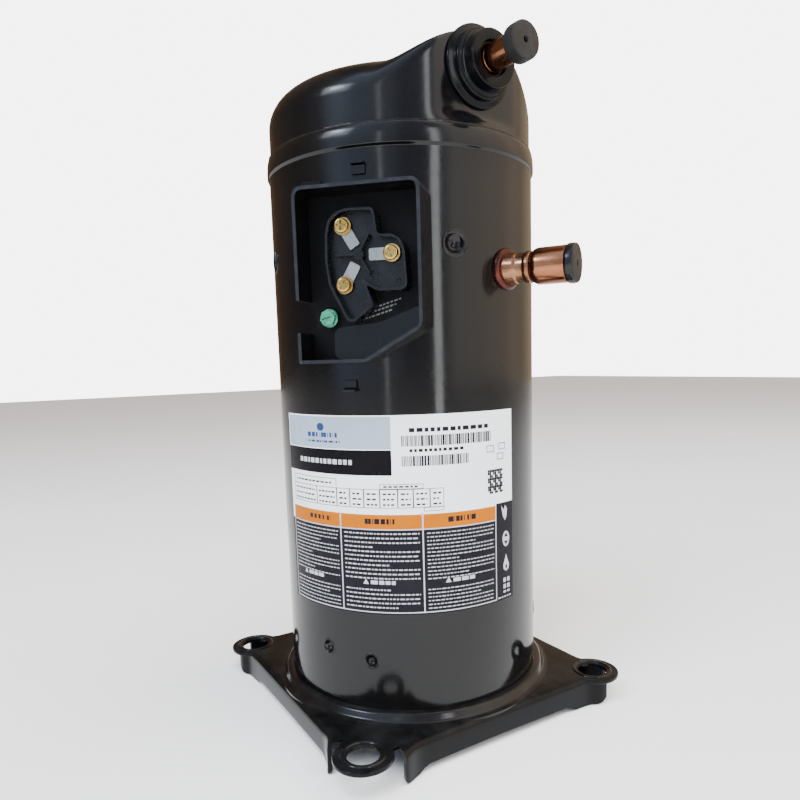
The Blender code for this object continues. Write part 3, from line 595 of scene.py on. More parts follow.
def laminations_look():
    """Stacked sheets: thin level lines."""
    look = Surface("laminations", (0.2, 0.21, 0.23), metallic=0.9, roughness=0.45)
    look.mottle(900, (0.32, 0.33, 0.35), stretch=(0.02, 0.02, 2.2))
    look.mottle(45, (0.14, 0.12, 0.11), strength=0.5)
    look.vary_roughness(200, 0.08).bump(1400, 0.05, stretch=(0.02, 0.02, 1.0))
    return look.made


def rubber_look():
    look = Surface("plug_rubber", (0.0095, 0.0088, 0.0084), roughness=0.5, gloss=RUBBER_GLOSS)
    look.mottle(90, (0.016, 0.0148, 0.0136)).mottle(1100, (0.010, 0.010, 0.010), strength=0.6)
    look.dust((0.032, 0.031, 0.029), 0.35, scale=200)
    look.vary_roughness(80, 0.1).bump(1300, 0.02).bump(160, 0.05)
    return look.made


def green_look():
    look = Surface("green_zinc", (0.045, 0.26, 0.15), metallic=0.55, roughness=0.33)
    look.mottle(300, (0.08, 0.36, 0.22)).mottle(900, (0.03, 0.16, 0.09), strength=0.6)
    look.vary_roughness(400, 0.08).bump(900, 0.02)
    return look.made


LOOKS = {
    "black_paint": black_paint("black_enamel"),
    "base_paint": black_paint("base_enamel", roughness=0.16, gloss=BASE_GLOSS),
    "copper": metal("drawn_copper", (0.31, 0.125, 0.064), (0.20, 0.072, 0.035), 0.2, streak=(0.35, 0.35, 1),
                    stain=(0.11, 0.04, 0.024)),
    "plated_steel": metal("plated_neck", (0.33, 0.165, 0.09), (0.22, 0.10, 0.052), 0.24,
                          stain=(0.12, 0.045, 0.026)),
    "rubber": rubber_look(),
    "moulding": moulded("block_moulding", (0.0026, 0.0029, 0.0036), (0.0048, 0.0054, 0.0066), 0.26, 0.015,
                        BLOCK_GLOSS),
    "tinned_metal": metal("tin_plate", (0.36, 0.35, 0.33), (0.27, 0.265, 0.25), 0.3, streak=(1, 1, 0.3)),
    "brass": metal("screw_brass", (0.50, 0.34, 0.11), (0.38, 0.24, 0.065), 0.22, stain=(0.20, 0.12, 0.035)),
    "green_screw": green_look(),
    "label_film": film("white_film", (0.80, 0.83, 0.85), (0.74, 0.78, 0.81)),
    "machined_steel": metal("machined_steel", (0.5, 0.5, 0.51), (0.36, 0.36, 0.37), 0.3, streak=(1, 1, 6)),
    "cast_iron": casting("cast_iron", (0.16, 0.16, 0.165), (0.24, 0.235, 0.23), 0.5, 0.08),
    "cast_aluminium": casting("cast_aluminium", (0.62, 0.62, 0.63), (0.48, 0.48, 0.49), 0.42, 0.06),
    "winding_enamel": winding_look(),
    "laminations": laminations_look(),
    "bearing_bronze": metal("bearing_bronze", (0.5, 0.34, 0.16), (0.38, 0.24, 0.1), 0.34),
    "box_enamel": black_paint("box_enamel", roughness=0.17),
    # painted shade: a darker, less glossy black on the box's floor stands for the shade inside the box
    "box_liner": moulded("box_liner", (0.0012, 0.0012, 0.0016), (0.002, 0.002, 0.0024), 0.5, 0.01,
                         FLOOR_SHADE_GLOSS),
    # painted highlight: a paler black on the front face of the box's rim stands for the light its edge
    # catches
    "box_rim": moulded("box_rim", (0.0026, 0.0026, 0.0034), (0.010, 0.010, 0.012), 0.16, 0.01),
    "floor_mark": moulded("floor_mark", (0.10, 0.105, 0.115), (0.13, 0.135, 0.14), 0.4, 0.01),
    "brazed_ring": metal("brazed_ring", (0.10, 0.030, 0.024), (0.05, 0.02, 0.018), 0.3,
                         stain=(0.025, 0.015, 0.015), relief=0.05),
    "gloss_band": black_paint("gloss_band", roughness=0.22),
    "pale_panel": film("pale_panel", (0.30, 0.36, 0.43), (0.26, 0.32, 0.39)),
    "dark_band": film("dark_band", (0.0035, 0.0028, 0.0042), (0.0055, 0.0045, 0.006), roughness=0.25),
    "dark_panel": film("dark_panel", (0.008, 0.0075, 0.0105), (0.012, 0.0115, 0.015), roughness=0.25),
    "orange_strip": film("orange_strip", (0.43, 0.118, 0.0), (0.385, 0.103, 0.0)),
    "pale_ink": film("pale_ink", (0.46, 0.46, 0.49), (0.38, 0.38, 0.41)),
    "dark_ink": film("dark_ink", (0.010, 0.009, 0.012), (0.018, 0.017, 0.021)),
    "blue_ink": film("blue_ink", (0.022, 0.040, 0.13), (0.035, 0.06, 0.17)),
}


# ---------------------------------------------------------------- shell, caps and welds


def spot_places():
    """Where the plug welds are: azimuth, height and radius of each."""
    for quarter in range(4):
        yield SPOT_AZ + 90 * quarter, SPOT_Z, SPOT_R
    for leg in range(3):
        for side in (-LOW_SPOT_APART, LOW_SPOT_APART):
            yield LOW_SPOT_AZ + 120 * leg + side, LOW_SPOT_Z + 0.22 * -side, LOW_SPOT_R


def fine_shell():
    bell_low = RIM_TOP - RIM_HEIGHT
    profile = [(SHELL_R, SHELL_LOW + (bell_low - SHELL_LOW) * i / 24) for i in range(24)]
    for i in range(9):
        profile.append((SHELL_R + (RIM_R - SHELL_R) * smoothstep(i / 8), bell_low + 1 + BELL_FLARE * i / 8))
    for i in range(1, 13):
        lean, climb = polar(1, 7.0 * i)
        profile.append((RIM_R - BELL_LEAN * (1 - lean), RIM_TOP - 9.0 + 8.8 * climb))
    profile += [(RIM_BORE, RIM_TOP), (RIM_BORE, RIM_TOP - 8.8)]
    profile += [(SHELL_BORE, RIM_TOP - 12), (SHELL_BORE, SHELL_LOW)]
    cutters = [
        moved(cylinder(SUCTION_HOLE_R, -15, 15), suction_line()),
        moved(cylinder(TERMINAL_HOLE_R, 75, 100), BOX_FRAME @ shift(0, TERMINAL_U, TERMINAL_Z) @ FACE_ON),
    ]
    cutters += [moved(cylinder(r * 0.82, 85, 100, 48), radial(az, z)) for az, z, r in spot_places()]
    piece("shell", carved(turned(profile, ROUND_STEPS), cutters), stands_for=["shell_tube"])


def plug_welds():
    """A dished weld in each hole, with a rolled edge and a small off-centre nub in the dish."""
    for number, (azimuth, height, r) in enumerate(spot_places(), 1):
        edge = [(0.8, -4.2), (0.8, -1.6), (1.02, -0.9), (1.02, -0.5), (0.97, 0.05), (0.88, 0.36), (0.79, 0.2)]
        dished = [(0.68, -0.9), (0.52, -2.5), (0.27, -3.3)]
        dish = turned([(0, -4.2)] + [(r * part, z) for part, z in edge + dished] + [(0, -3.5)], 64)
        nub = turned([(0, -3.8), (r * 0.22, -3.8), (r * 0.19, -3.0), (r * 0.1, -2.7), (0, -2.6)], 24)
        nub = moved(nub, shift(r * 0.12, r * 0.08, 0))
        shape = moved(joined([dish, nub]), radial(azimuth, height) @ shift(0, 0, SHELL_R))
        piece(f"plug_weld_{number}", shape, sharp=60)


def girth_weld():
    """The bead that joins the cap to the shell's rim, with ripples along it."""
    shape = bmesh.new()
    rings = []
    for i in range(WELD_STEPS):
        azimuth = 360 * i / WELD_STEPS
        along = math.radians(azimuth)
        ripple = 1 + 0.10 * math.sin(along * 64) + 0.07 * math.sin(along * 23 + 1)
        ring = []
        for k in range(10):
            across, up = polar(1, 36 * k)
            reach = CAP_R + 0.15 + across * 1.25 * ripple
            ring.append((*polar(reach, azimuth), RIM_TOP + 0.1 + up * 1.15 * ripple))
        rings.append(vertices(shape, ring))
    for here, after in zip(rings, rings[1:] + rings[:1]):
        bridge(shape, here, after)
    piece("girth_weld", outward(shape), sharp=80)


def cap_height(x, y):
    """The cap's height before its shoulder is rounded: level, then rising to a hump towards +X."""
    rise = smoothstep((x - HUMP_START) / HUMP_LENGTH)
    return CAP_TOP + rise * (HUMP_RISE - HUMP_FALL * (y / CAP_R) ** 2)


def flattened(x, z, flat_x):
    """x held within the flat for the discharge fitting, with a soft edge, blended in with height."""
    soft = 1.1
    if x < flat_x - 20 * soft:
        return x
    held = flat_x - soft * math.log1p(math.exp((flat_x - x) / soft))
    return x + (held - x) * smoothstep((z - CAP_FLAT_LOW + CAP_FLAT_BLEND / 2) / CAP_FLAT_BLEND)


def cap_rings(offset, wall_steps, shoulder_steps, crown_steps):
    """Radius and height functions of the cap's outer or inner skin, from its rim up."""
    radius = CAP_R - offset
    shoulder = CAP_SHOULDER - offset
    for i in range(wall_steps):
        part = i / wall_steps
        yield radius, lambda x, y, p=part: CAP_LOW + (cap_height(x, y) - CAP_SHOULDER - CAP_LOW) * p
    for i in range(shoulder_steps + 1):
        angle = math.pi / 2 * i / shoulder_steps
        drop = offset + shoulder * (1 - math.sin(angle))
        yield radius - shoulder * (1 - math.cos(angle)), lambda x, y, d=drop: cap_height(x, y) - d
    for i in range(1, crown_steps):
        yield (radius - shoulder) * (1 - i / crown_steps), lambda x, y: cap_height(x, y) - offset


def cap_skin(shape, offset, wall_steps, shoulder_steps, crown_steps):
    rings = []
    for reach, level in cap_rings(offset, wall_steps, shoulder_steps, crown_steps):
        ring = []
        for x, y in circle((0, 0), reach, ROUND_STEPS):
            z = level(x, y)
            ring.append((flattened(x, z, CAP_FLAT_X - offset), y, z))
        rings.append(vertices(shape, ring))
    for lower, upper in zip(rings, rings[1:]):
        bridge(shape, lower, upper)
    shape.faces.new(rings[-1])
    return rings[0]


def fine_cap():
    shape = bmesh.new()
    outer = cap_skin(shape, 0, 22, 20, 24)
    bridge(shape, cap_skin(shape, CAP_WALL, 6, 8, 6), outer)
    hole = moved(cylinder(DISCHARGE_HOLE_R, 70, 100), radial(DISCHARGE_AZ, DISCHARGE_Z))
    piece("cap", carved(moved(outward(shape), turn(DISCHARGE_AZ)), [hole]), stands_for=["top_cap"], sharp=50)


def fine_bottom_cap():
    _, (reach, _, skirt_top) = cad_box("bottom_cap")
    corner, wall = 28.0, 3.5
    centre = (reach - corner, corner)
    outer = arc(centre, corner, -90, 0, 16)
    inner = arc(centre, corner - wall, 0, -90, 10)
    profile = [(0, 0)] + outer + [(reach, skirt_top), (reach - wall, skirt_top)] + inner + [(0, wall)]
    piece("lower_cap", turned(profile, 128), stands_for=["bottom_cap"])


# ---------------------------------------------------------------- base


def base_sheet():
    """The level sheet with its lobes and holes, and the ring pressed up round each hole."""
    reach = math.degrees(math.acos((FLANGE_OUT - 5 - FOOT_XY) / LOBE_R))
    outline = []
    for quarter in range(4):
        lobe = polar(FOOT_XY * math.sqrt(2), 45 + 90 * quarter)
        outline += arc(lobe, LOBE_R, 90 * quarter - reach, 90 * quarter + 90 + reach, 36)
    corners = [(x * FOOT_XY, y * FOOT_XY) for x in (-1, 1) for y in (-1, 1)]
    outlines = [rounded_corners(outline, 4.0), circle((0, 0), SHELL_R + CLEAR, ROUND_STEPS)]
    outlines += [circle(corner, FOOT_HOLE_R, 64) for corner in corners]
    body = plate(outlines, PLATE_TOP - PLATE_T, PLATE_TOP)
    piece("base_sheet", body, "base_paint", ["base_plate"], bevel=0.8)
    for number, (x, y) in enumerate(corners, 1):
        ring = [(11.0, -0.6), (14.6, -0.6), (13.6, 0.95), (12.2, 0.95)]
        piece(f"foot_ring_{number}", spun(ring, 0.8, 96, shift(x, y, PLATE_TOP)), sharp=60)


def rounded_corners(outline, size):
    """Rounds only the outline's hard corners, where its direction changes by more than 25 degrees."""
    reaches = []
    count = len(outline)
    for i in range(count):
        before = Vector(outline[i]) - Vector(outline[i - 1])
        after = Vector(outline[(i + 1) % count]) - Vector(outline[i])
        reaches.append(size if before.angle(after) > math.radians(25) else 0)
    return rounded(outline, reaches, 5)


def base_collar():
    """The ring pressed up round the shell, rolling out into the sheet."""
    profile = [(SHELL_R + CLEAR, PLATE_TOP - 2.5), (103.0, PLATE_TOP - 2.5), (103.0, PLATE_TOP - 0.2)]
    for radius, drop in ((101.8, 5.4), (100.6, 5.25), (99.8, 4.95), (99.2, 4.4), (98.8, 3.8), (97.35, 1.45),
                         (97.0, 0.95), (96.5, 0.5), (95.8, 0.18), (94.9, 0), (SHELL_R + CLEAR, 0)):
        profile.append((radius, COLLAR_TOP - drop))
    piece("base_collar", turned(profile, ROUND_STEPS))


def side_flanges():
    """Each side of the base: its edge bent down to two feet, in a section swept along the side.

    The long foot passes outside its corner's hole, so there the section has only the wall. A station is
    a place along the side, the height of the foot's edge over the floor, and how far the wall flares out.
    """
    root, thick = 88.0, PLATE_T
    stations = [(-74.0, 2.6, 4.8), (-73.2, 0.9, 4.8), (-71.5, 0.1, 4.3), (-69.0, 0.0, 3.3), (-66.0, 0.0, 2.0),
                (-62.0, 0.2, 0.6), (-58.0, 2.4, 0.1), (-54.0, 4.0, 0.0), (-30.0, 4.4, 0.0), (0.0, 4.6, 0.0),
                (30.0, 4.4, 0.0), (60.0, 4.0, 0.0), (65.0, 2.2, 0.0), (70.0, 0.2, 0.0), (74.0, 0.0, 0.1),
                (80.0, 0.0, 0.3), (84.0, 0.0, 0.7), (86.0, 0.0, 1.6), (88.0, 0.0, 3.0), (90.0, 0.4, 4.1),
                (92.0, 1.2, 4.7), (94.0, 2.4, 4.8), (96.0, 4.0, 4.8)]
    for side, hand in enumerate((1, -1, 1, -1)):
        sections = []
        for along, foot, flare in stations:
            outside = FLANGE_OUT + flare
            bend, start = (4.5, root) if along < LONG_FOOT_FROM else (2.8, outside - thick - 0.25)
            section = [(start, PLATE_TOP - thick + 0.1), (start, PLATE_TOP - 0.1)]
            section += arc((outside - bend, PLATE_TOP - bend - 0.1), bend, 90, 0, 7)
            section += [(outside, foot + 0.5), (outside - 0.5, foot)]
            section += [(outside - thick + 0.5, foot), (outside - thick, foot + 0.5)]
            section += arc((outside - thick - 0.2, PLATE_TOP - thick - 0.1), 0.2, 0, 90, 2)
            sections.append([(x, hand * along, z) for x, z in section])
        piece(f"side_flange_{side + 1}", moved(loft(sections), turn(90 * side)), "base_paint")


# ---------------------------------------------------------------- stubs


def discharge_line():
    """Every outline here is of (radius, distance from the shell's axis)."""
    axis = radial(DISCHARGE_AZ, DISCHARGE_Z)
    seat = CAP_FLAT_X + CLEAR
    boss = [(10, 77), (10, seat), (24, seat), (24, 88), (20.3, 89.2), (20.3, 93), (16.5, 93.6), (16.5, 101.5),
            (10.2, 101.5), (9.4, 99.0), (8.1, 99.0), (8.1, 90), (5.5, 90), (5.5, 84), (7.5, 84), (7.5, 77)]
    boss = spun(boss, [0, 0, 0, 0.8, 0.7, 1.1, 0.5, 1.0, 0.6, 0.3, 0, 0, 0, 0, 0, 0], 128, axis)
    piece("discharge_boss", boss, "base_paint", ["discharge_fitting"])
    ring = spun([(16.4, 92.9), (18.6, 92.9), (18.3, 93.7), (16.4, 94.6)], 0.4, 96, axis)
    piece("discharge_braze", ring, "base_paint")
    tube = spun([(7.8, 90.3), (7.8, 124), (6.6, 124), (6.6, 90.3)], [0, 0.4, 0.4, 0], 96, axis)
    piece("discharge_tube", tube, "copper", ["discharge_stub"])
    solder = spun([(7.7, 98.2), (9.3, 98.2), (8.3, 100.2), (7.7, 101.4)], 0.4, 64, axis)
    piece("discharge_solder", solder, "copper")
    plug = [(8.1, 119.5), (10.05, 119.5), (10.45, 121), (10.5, 124), (10.3, 128), (2.0, 128), (1.6, 127.4),
            (1.6, 124.4), (8.1, 124.4)]
    plug = spun(plug, [0.3, 0.5, 1.0, 1.0, 0.9, 0.5, 0, 0, 0], 96, axis)
    piece("discharge_cap", plug, "rubber", ["discharge_plug"], body="discharge_plug_part")


def suction_pipe():
    """Every outline but the ring's is of (radius, distance from the shell's surface along the stub)."""
    line = suction_line()
    ring = [(0, 88), (13.2, 88), (13.2, 93.4), (11.6, 94.9), (0, 94.9)]
    ring = spun(ring, [0, 0, 1.2, 1.0, 0], 96, radial(SUCTION_AZ, SUCTION_Z))
    outside = cylinder(SHELL_R + 0.05, SUCTION_Z - 30, SUCTION_Z + 30, ROUND_STEPS)
    ring = carved(ring, [outside, moved(cylinder(9.4, -20, 30), line)])
    piece("suction_braze_ring", ring, "brazed_ring", slot="plated_steel", sharp=50)
    neck = [(8.9, -5), (9.75, -5), (9.75, 7), (9.2, 8.2), (9.2, 13.2), (10.0, 14.4), (10.0, 16.6),
            (9.4, 17.2), (8.9, 17.2)]
    neck = spun(neck, [0, 0, 0.8, 0.8, 0.8, 0.8, 0.6, 0.3, 0], 96, line)
    piece("suction_neck", neck, "plated_steel", ["suction_fitting"])
    tube = [(8.6, -4), (8.6, 17.3), (9.3, 17.5), (11.15, 20.6), (11.3, 22.5), (11.3, 39.4), (9.9, 39.4),
            (9.9, 21.3), (7.4, 18.3), (7.4, -4)]
    tube = spun(tube, [0, 0, 1.0, 1.6, 0.6, 0.4, 0.4, 1.0, 0.5, 0], 128, line)
    piece("suction_tube", tube, "copper", ["suction_stub"])
    plug = [(0, 28), (9, 28), (9.6, 29), (9.6, 39.7), (11.7, 39.7), (12.1, 41.2), (12.1, 43.8), (11.6, 45.4),
            (2.2, 45.4), (1.8, 44.8), (1.8, 36), (0, 36)]
    stopper = spun(plug, [0, 0.5, 0.5, 0, 0.5, 0.8, 0.8, 0.9, 0.5, 0, 0, 0], 96)
    for face in stopper.faces:
        height = face.calc_center_median().z / MM
        face.material_index = 1 if 39 < height < 44.6 else 0
    piece("suction_stopper", moved(stopper, line), ["rubber", "gloss_band"], ["suction_plug"],
          body="suction_plug_part")


# ---------------------------------------------------------------- terminal box


def box_outline(margin):
    """The box's outline from across and height, with one cut corner, moved inward by a margin."""
    left, right, low, high = BOX_LEFT, BOX_RIGHT, BOX_LOW, BOX_HIGH
    sharp = [(left, low), (4.5, low), (right, low + 19), (right, high), (left, high)]
    reaches = [max(reach - margin, 0.4) for reach in (2.0, 3.0, 4.5, 6.5, 6.5)]
    return rounded(inset(sharp, margin), reaches, 8)


def fine_box():
    walls = facing([box_outline(0), box_outline(BOX_WALL)], 80, BOX_RIM_D)
    floor = facing([box_outline(BOX_WALL / 2)], BOX_FLOOR_D, BOX_FLOOR_TOP)
    latch = block((BOX_RIM_D - 5, -30.5, BOX_HIGH - 1), (BOX_RIM_D - 0.4, -18.5, BOX_HIGH + 1.8))
    latch = moved(latch, BOX_FRAME)
    outside = cylinder(SHELL_R + CLEAR, 200, 400, ROUND_STEPS)
    hole = [(0, 80), (TERMINAL_HOLE_R, 80), (TERMINAL_HOLE_R, 110), (0, 110)]
    hole = facing_turned(hole, TERMINAL_U, TERMINAL_Z)
    cable = moved(block((70, BOX_LEFT - 5, CABLE_LOW), (BOX_RIM_D + 5, BOX_LEFT + 4, CABLE_HIGH)), BOX_FRAME)
    body = carved(welded(walls, [floor, latch]), [outside, hole, cable])
    # Faces turned straight out below the rim, the box's floor and the latch's face, take a darker black:
    # painted shade.
    out = Vector((*polar(1, BOX_AZ), 0))
    for face in body.faces:
        depth = face.calc_center_median().dot(out) / MM
        if face.normal.dot(out) > 0.9:
            # The rim's front face takes a paler black: a painted highlight.
            face.material_index = 2 if depth > BOX_RIM_D - 0.1 else 1
    piece("box_shell", body, ["box_enamel", "box_liner", "box_rim"], ["terminal_box"], bevel=0.45)


def box_floor_detail():
    """Low marks on the box's floor: a ring by the earth screw, bars and a swelling under the block."""
    top = BOX_FLOOR_TOP
    ring = rounded([(4.1, top - 0.5), (5.2, top - 0.5), (5.2, top + 0.35), (4.1, top + 0.35)], 0.2)
    ring = facing_turned(ring, -12.5, 266.0)
    stem = facing([[(-12.9, 264), (-12.1, 264), (-12.1, 268.4), (-12.9, 268.4)]], top - 0.3, top + 0.3)
    piece("earth_ring", joined([ring, stem]), "moulding", sharp=50)
    bars = []
    for row, (start, end) in enumerate(((2.0, 21.0), (-3.0, 17.5), (-7.0, 13.5))):
        across = start
        random.seed(row)
        while across < end:
            width = random.uniform(0.9, 2.4)
            low = 280.5 - 3.6 * row + BAR_SLOPE * (across - start)
            high = low + BAR_SLOPE * width
            end_of_bar = across + width
            outline = [(across, low), (end_of_bar, high), (end_of_bar, high + 0.9), (across, low + 0.9)]
            bars.append(facing([outline], top - 0.2, top + 0.16))
            across = end_of_bar + 0.8
    piece("floor_bars", joined(bars), "floor_mark", slot="moulding")
    swell = rounded([(-21, 251.5), (4, 251.5), (35.5, 269.5), (35.5, 283), (8, 273), (-21, 270.5)], 5, 6)
    piece("floor_swell", facing([swell], top - 0.4, top + 0.7), "box_enamel", bevel=0.6)


def block_outline(margin):
    outline = [
        (-8.5, -38.2), (-4.5, -38.5), (8, -29.5), (3.6, -17.5), (10.5, -21.5), (25.5, -21.5), (28.2, -19),
        (27, 1), (24.8, 7), (20, 10), (11, 10.4), (10.2, 20), (9, 25.4), (-6, 26), (-13, 24.6), (-18.3, 20),
        (-20.3, 12), (-20.8, -4), (-19, -17),
    ]
    return rounded(inset([(u, TERMINAL_Z + z) for u, z in outline], margin), 2.6 - margin * 0.7, 4)


def screw_place(angle):
    u, z = polar(SCREW_CIRCLE_R, angle)
    return TERMINAL_U + u, TERMINAL_Z + z


def fine_block():
    parts = [facing([block_outline(0)], BLOCK_BACK_D, BLOCK_FACE_D)]
    parts.append(facing([block_outline(0.04), block_outline(1.5)], BLOCK_FACE_D - 1, BLOCK_RIM_D))
    for angle in SCREW_ANGLES:
        start, end, across = polar(1.0, angle + 60), polar(13.0, angle + 60), polar(0.7, angle + 150)
        wall = [(TERMINAL_U + (u + across[0] * side), TERMINAL_Z + (z + across[1] * side))
                for (u, z), side in ((start, -1), (end, -1), (end, 1), (start, 1))]
        parts.append(facing([wall], BLOCK_FACE_D - 0.5, BLOCK_RIM_D - 1.2))
    parts.append(facing([circle((TERMINAL_U, TERMINAL_Z), 3.2, 32)], BLOCK_FACE_D - 0.5, BLOCK_RIM_D - 1.6))
    piece("block_body", joined(parts), "moulding", ["terminal_block"], bevel=0.35)
    for number, (u, z, r) in enumerate(((-17.0, 311.0, 1.9), (6.6, 300.6, 3.0), (21.5, 296.5, 1.3)), 1):
        low, high = BLOCK_FACE_D - 0.4, BLOCK_FACE_D + 0.5
        dimple = rounded([(r * 0.6, low), (r, low), (r, high), (r * 0.6, high)], 0.2)
        piece(f"block_dimple_{number}", facing_turned(dimple, u, z, 40), "moulding")


def terminal_screws():
    seat = BLOCK_FACE_D + 1.5
    arm, width = 2.9, 3.5
    for number, angle in enumerate(SCREW_ANGLES, 1):
        u, z = screw_place(angle)
        base = BOX_FRAME @ shift(0, u, z) @ FACE_ON
        place = base @ turn(angle * 1.3 + 20)
        head = [(0, seat - 4), (2.3, seat - 4), (2.3, seat + 0.6), (4.3, seat + 1.0), (4.3, seat + 3.6),
                (3.4, seat + 4.2), (0, seat + 4.2)]
        cross = [block((-along, -across, seat + 2.6), (along, across, seat + 6))
                 for along, across in ((arm, 0.5), (0.5, arm))]
        body = carved(spun(head, [0, 0, 0, 0.2, 0.9, 0.8, 0], 48), cross)
        washer = spun([(2.6, seat), (5.2, seat), (5.2, seat + 1.0), (2.6, seat + 1.0)], 0.25, 48, place)
        screw = joined([moved(body, place), washer])
        piece(f"brass_screw_{number}", screw, "brass", [f"terminal_screw_{number}"], sharp=30)
        blade = [(-14, -width), (3, -width), (4.4, 0), (3, width), (-14, width)]
        blade = rounded(blade, [1.0, 0.8, 0.8, 0.8, 1.0])
        face = BLOCK_FACE_D + 0.3
        tab = moved(plate([blade, circle((0, 0), 2.6, 32)], face, face + 0.9), base @ turn(angle))
        piece(f"tab_{number}", tab, "tinned_metal", [f"terminal_tab_{number}"], bevel=0.15)


def ground_screw():
    seat = GROUND_SEAT_D
    hexagon = rounded(circle((0, 0), 4.9, 6), 0.5, 2)
    head = plate([hexagon], seat + 0.8, seat + 4.0)
    crown = spun([(0, seat + 3.8), (4.0, seat + 3.8), (3.4, seat + 4.4), (0, seat + 4.4)], [0, 0, 0.5, 0], 32)
    flange = [(0, seat - 2), (2.3, seat - 2), (2.3, seat), (5.6, seat), (5.6, seat + 0.7), (4.6, seat + 1.2),
              (0, seat + 1.2)]
    flange = spun(flange, [0, 0, 0, 0.2, 0.3, 0.3, 0], 48)
    slot = block((-3.2, -0.45, seat + 3.2), (3.2, 0.45, seat + 6))
    body = carved(welded(flange, [head, crown]), [slot])
    place = BOX_FRAME @ shift(0, GROUND_U, GROUND_Z) @ FACE_ON @ turn(14)
    piece("earth_screw", moved(body, place), "green_screw", ["ground_screw"], sharp=28)


def cover_clips():
    """Two bent tabs on the shell, above and below the box."""
    foot = SHELL_R + 0.1
    for name, node, height, azimuth, step in (
        ("clip_above", "cover_clip_upper", 359, -46.8, 1),
        ("clip_below", "cover_clip_lower", 239, -53, -1),
    ):
        bends = [(0, 0), (1.6, 0), (1.6, 4.6), (2.2, 5.5), (4.6, 5.5), (4.6, 7), (0, 7)]
        outline = [(foot + out, up * step) for out, up in bends][::step]
        shape = moved(plate([outline], -4, 4), shift(0, 0, height) @ turn(azimuth) @ turn(90, "X"))
        piece(name, shape, stands_for=[node], bevel=0.3)


# ---------------------------------------------------------------- label


class Print:
    """Curved patches of one ink, all in one mesh, on the label."""

    def __init__(self, lift, thickness=INK_T):
        self.low = LABEL_R + lift
        self.high = self.low + thickness
        self.shape = bmesh.new()

    def patch(self, start, end, low, high):
        """A patch between two azimuths and two heights."""
        steps = max(1, math.ceil((end - start) / 2.5))
        sections = []
        for i in range(steps + 1):
            azimuth = start + (end - start) * i / steps
            near, far = polar(self.low, azimuth), polar(self.high, azimuth)
            sections.append([(*near, low), (*far, low), (*far, high), (*near, high)])
        capped(self.shape, sections)

    def polygon(self, centre, points):
        """A small flat shape from points in mm about a centre given as azimuth and height.

        Its face is raised enough for its middle to clear the round label.
        """
        rise = max(abs(across) for across, _ in points) ** 2 / (2 * LABEL_R)
        sections = []
        for radius in (self.low, self.high + rise):
            sections.append([(*polar(radius, centre[0] + math.degrees(across / LABEL_R)), centre[1] + up)
                             for across, up in points])
        capped(self.shape, sections)

    def ellipse(self, centre, across, up, steps):
        turns = [math.tau * k / steps for k in range(steps)]
        self.polygon(centre, [(across * math.cos(angle), up * math.sin(angle)) for angle in turns])

    def frame(self, start, end, low, high, line=0.35):
        """Four thin lines round an area. line is their width in mm."""
        turn_by = math.degrees(line / LABEL_R)
        self.patch(start, end, low, low + line)
        self.patch(start, end, high - line, high)
        self.patch(start, start + turn_by, low + line, high - line)
        self.patch(end - turn_by, end, low + line, high - line)

    def words(self, start, end, z, height, gap=0.55, word=(0.8, 1.8)):
        """A row of dashes that stands in for a line of print. Lengths are in degrees."""
        azimuth = start
        while azimuth < end - word[0] * 0.6:
            length = min(random.uniform(*word), end - azimuth)
            self.patch(azimuth, azimuth + length, z, z + height)
            azimuth += length + gap

    def squares(self, count, factors, left, low, pitch, size):
        """A square field of marks, about two thirds of it filled. pitch and size are in degrees and mm."""
        for column in range(count):
            for row in range(count):
                if (column * factors[0] + row * factors[1] + column * row) % 3:
                    azimuth, z = left + column * pitch[0], low + row * pitch[1]
                    self.patch(azimuth, azimuth + size[0], z, z + size[1])

    def done(self, name, look, stands_for=()):
        piece(name, outward(self.shape), look, stands_for, slot="label_film", sharp=20)


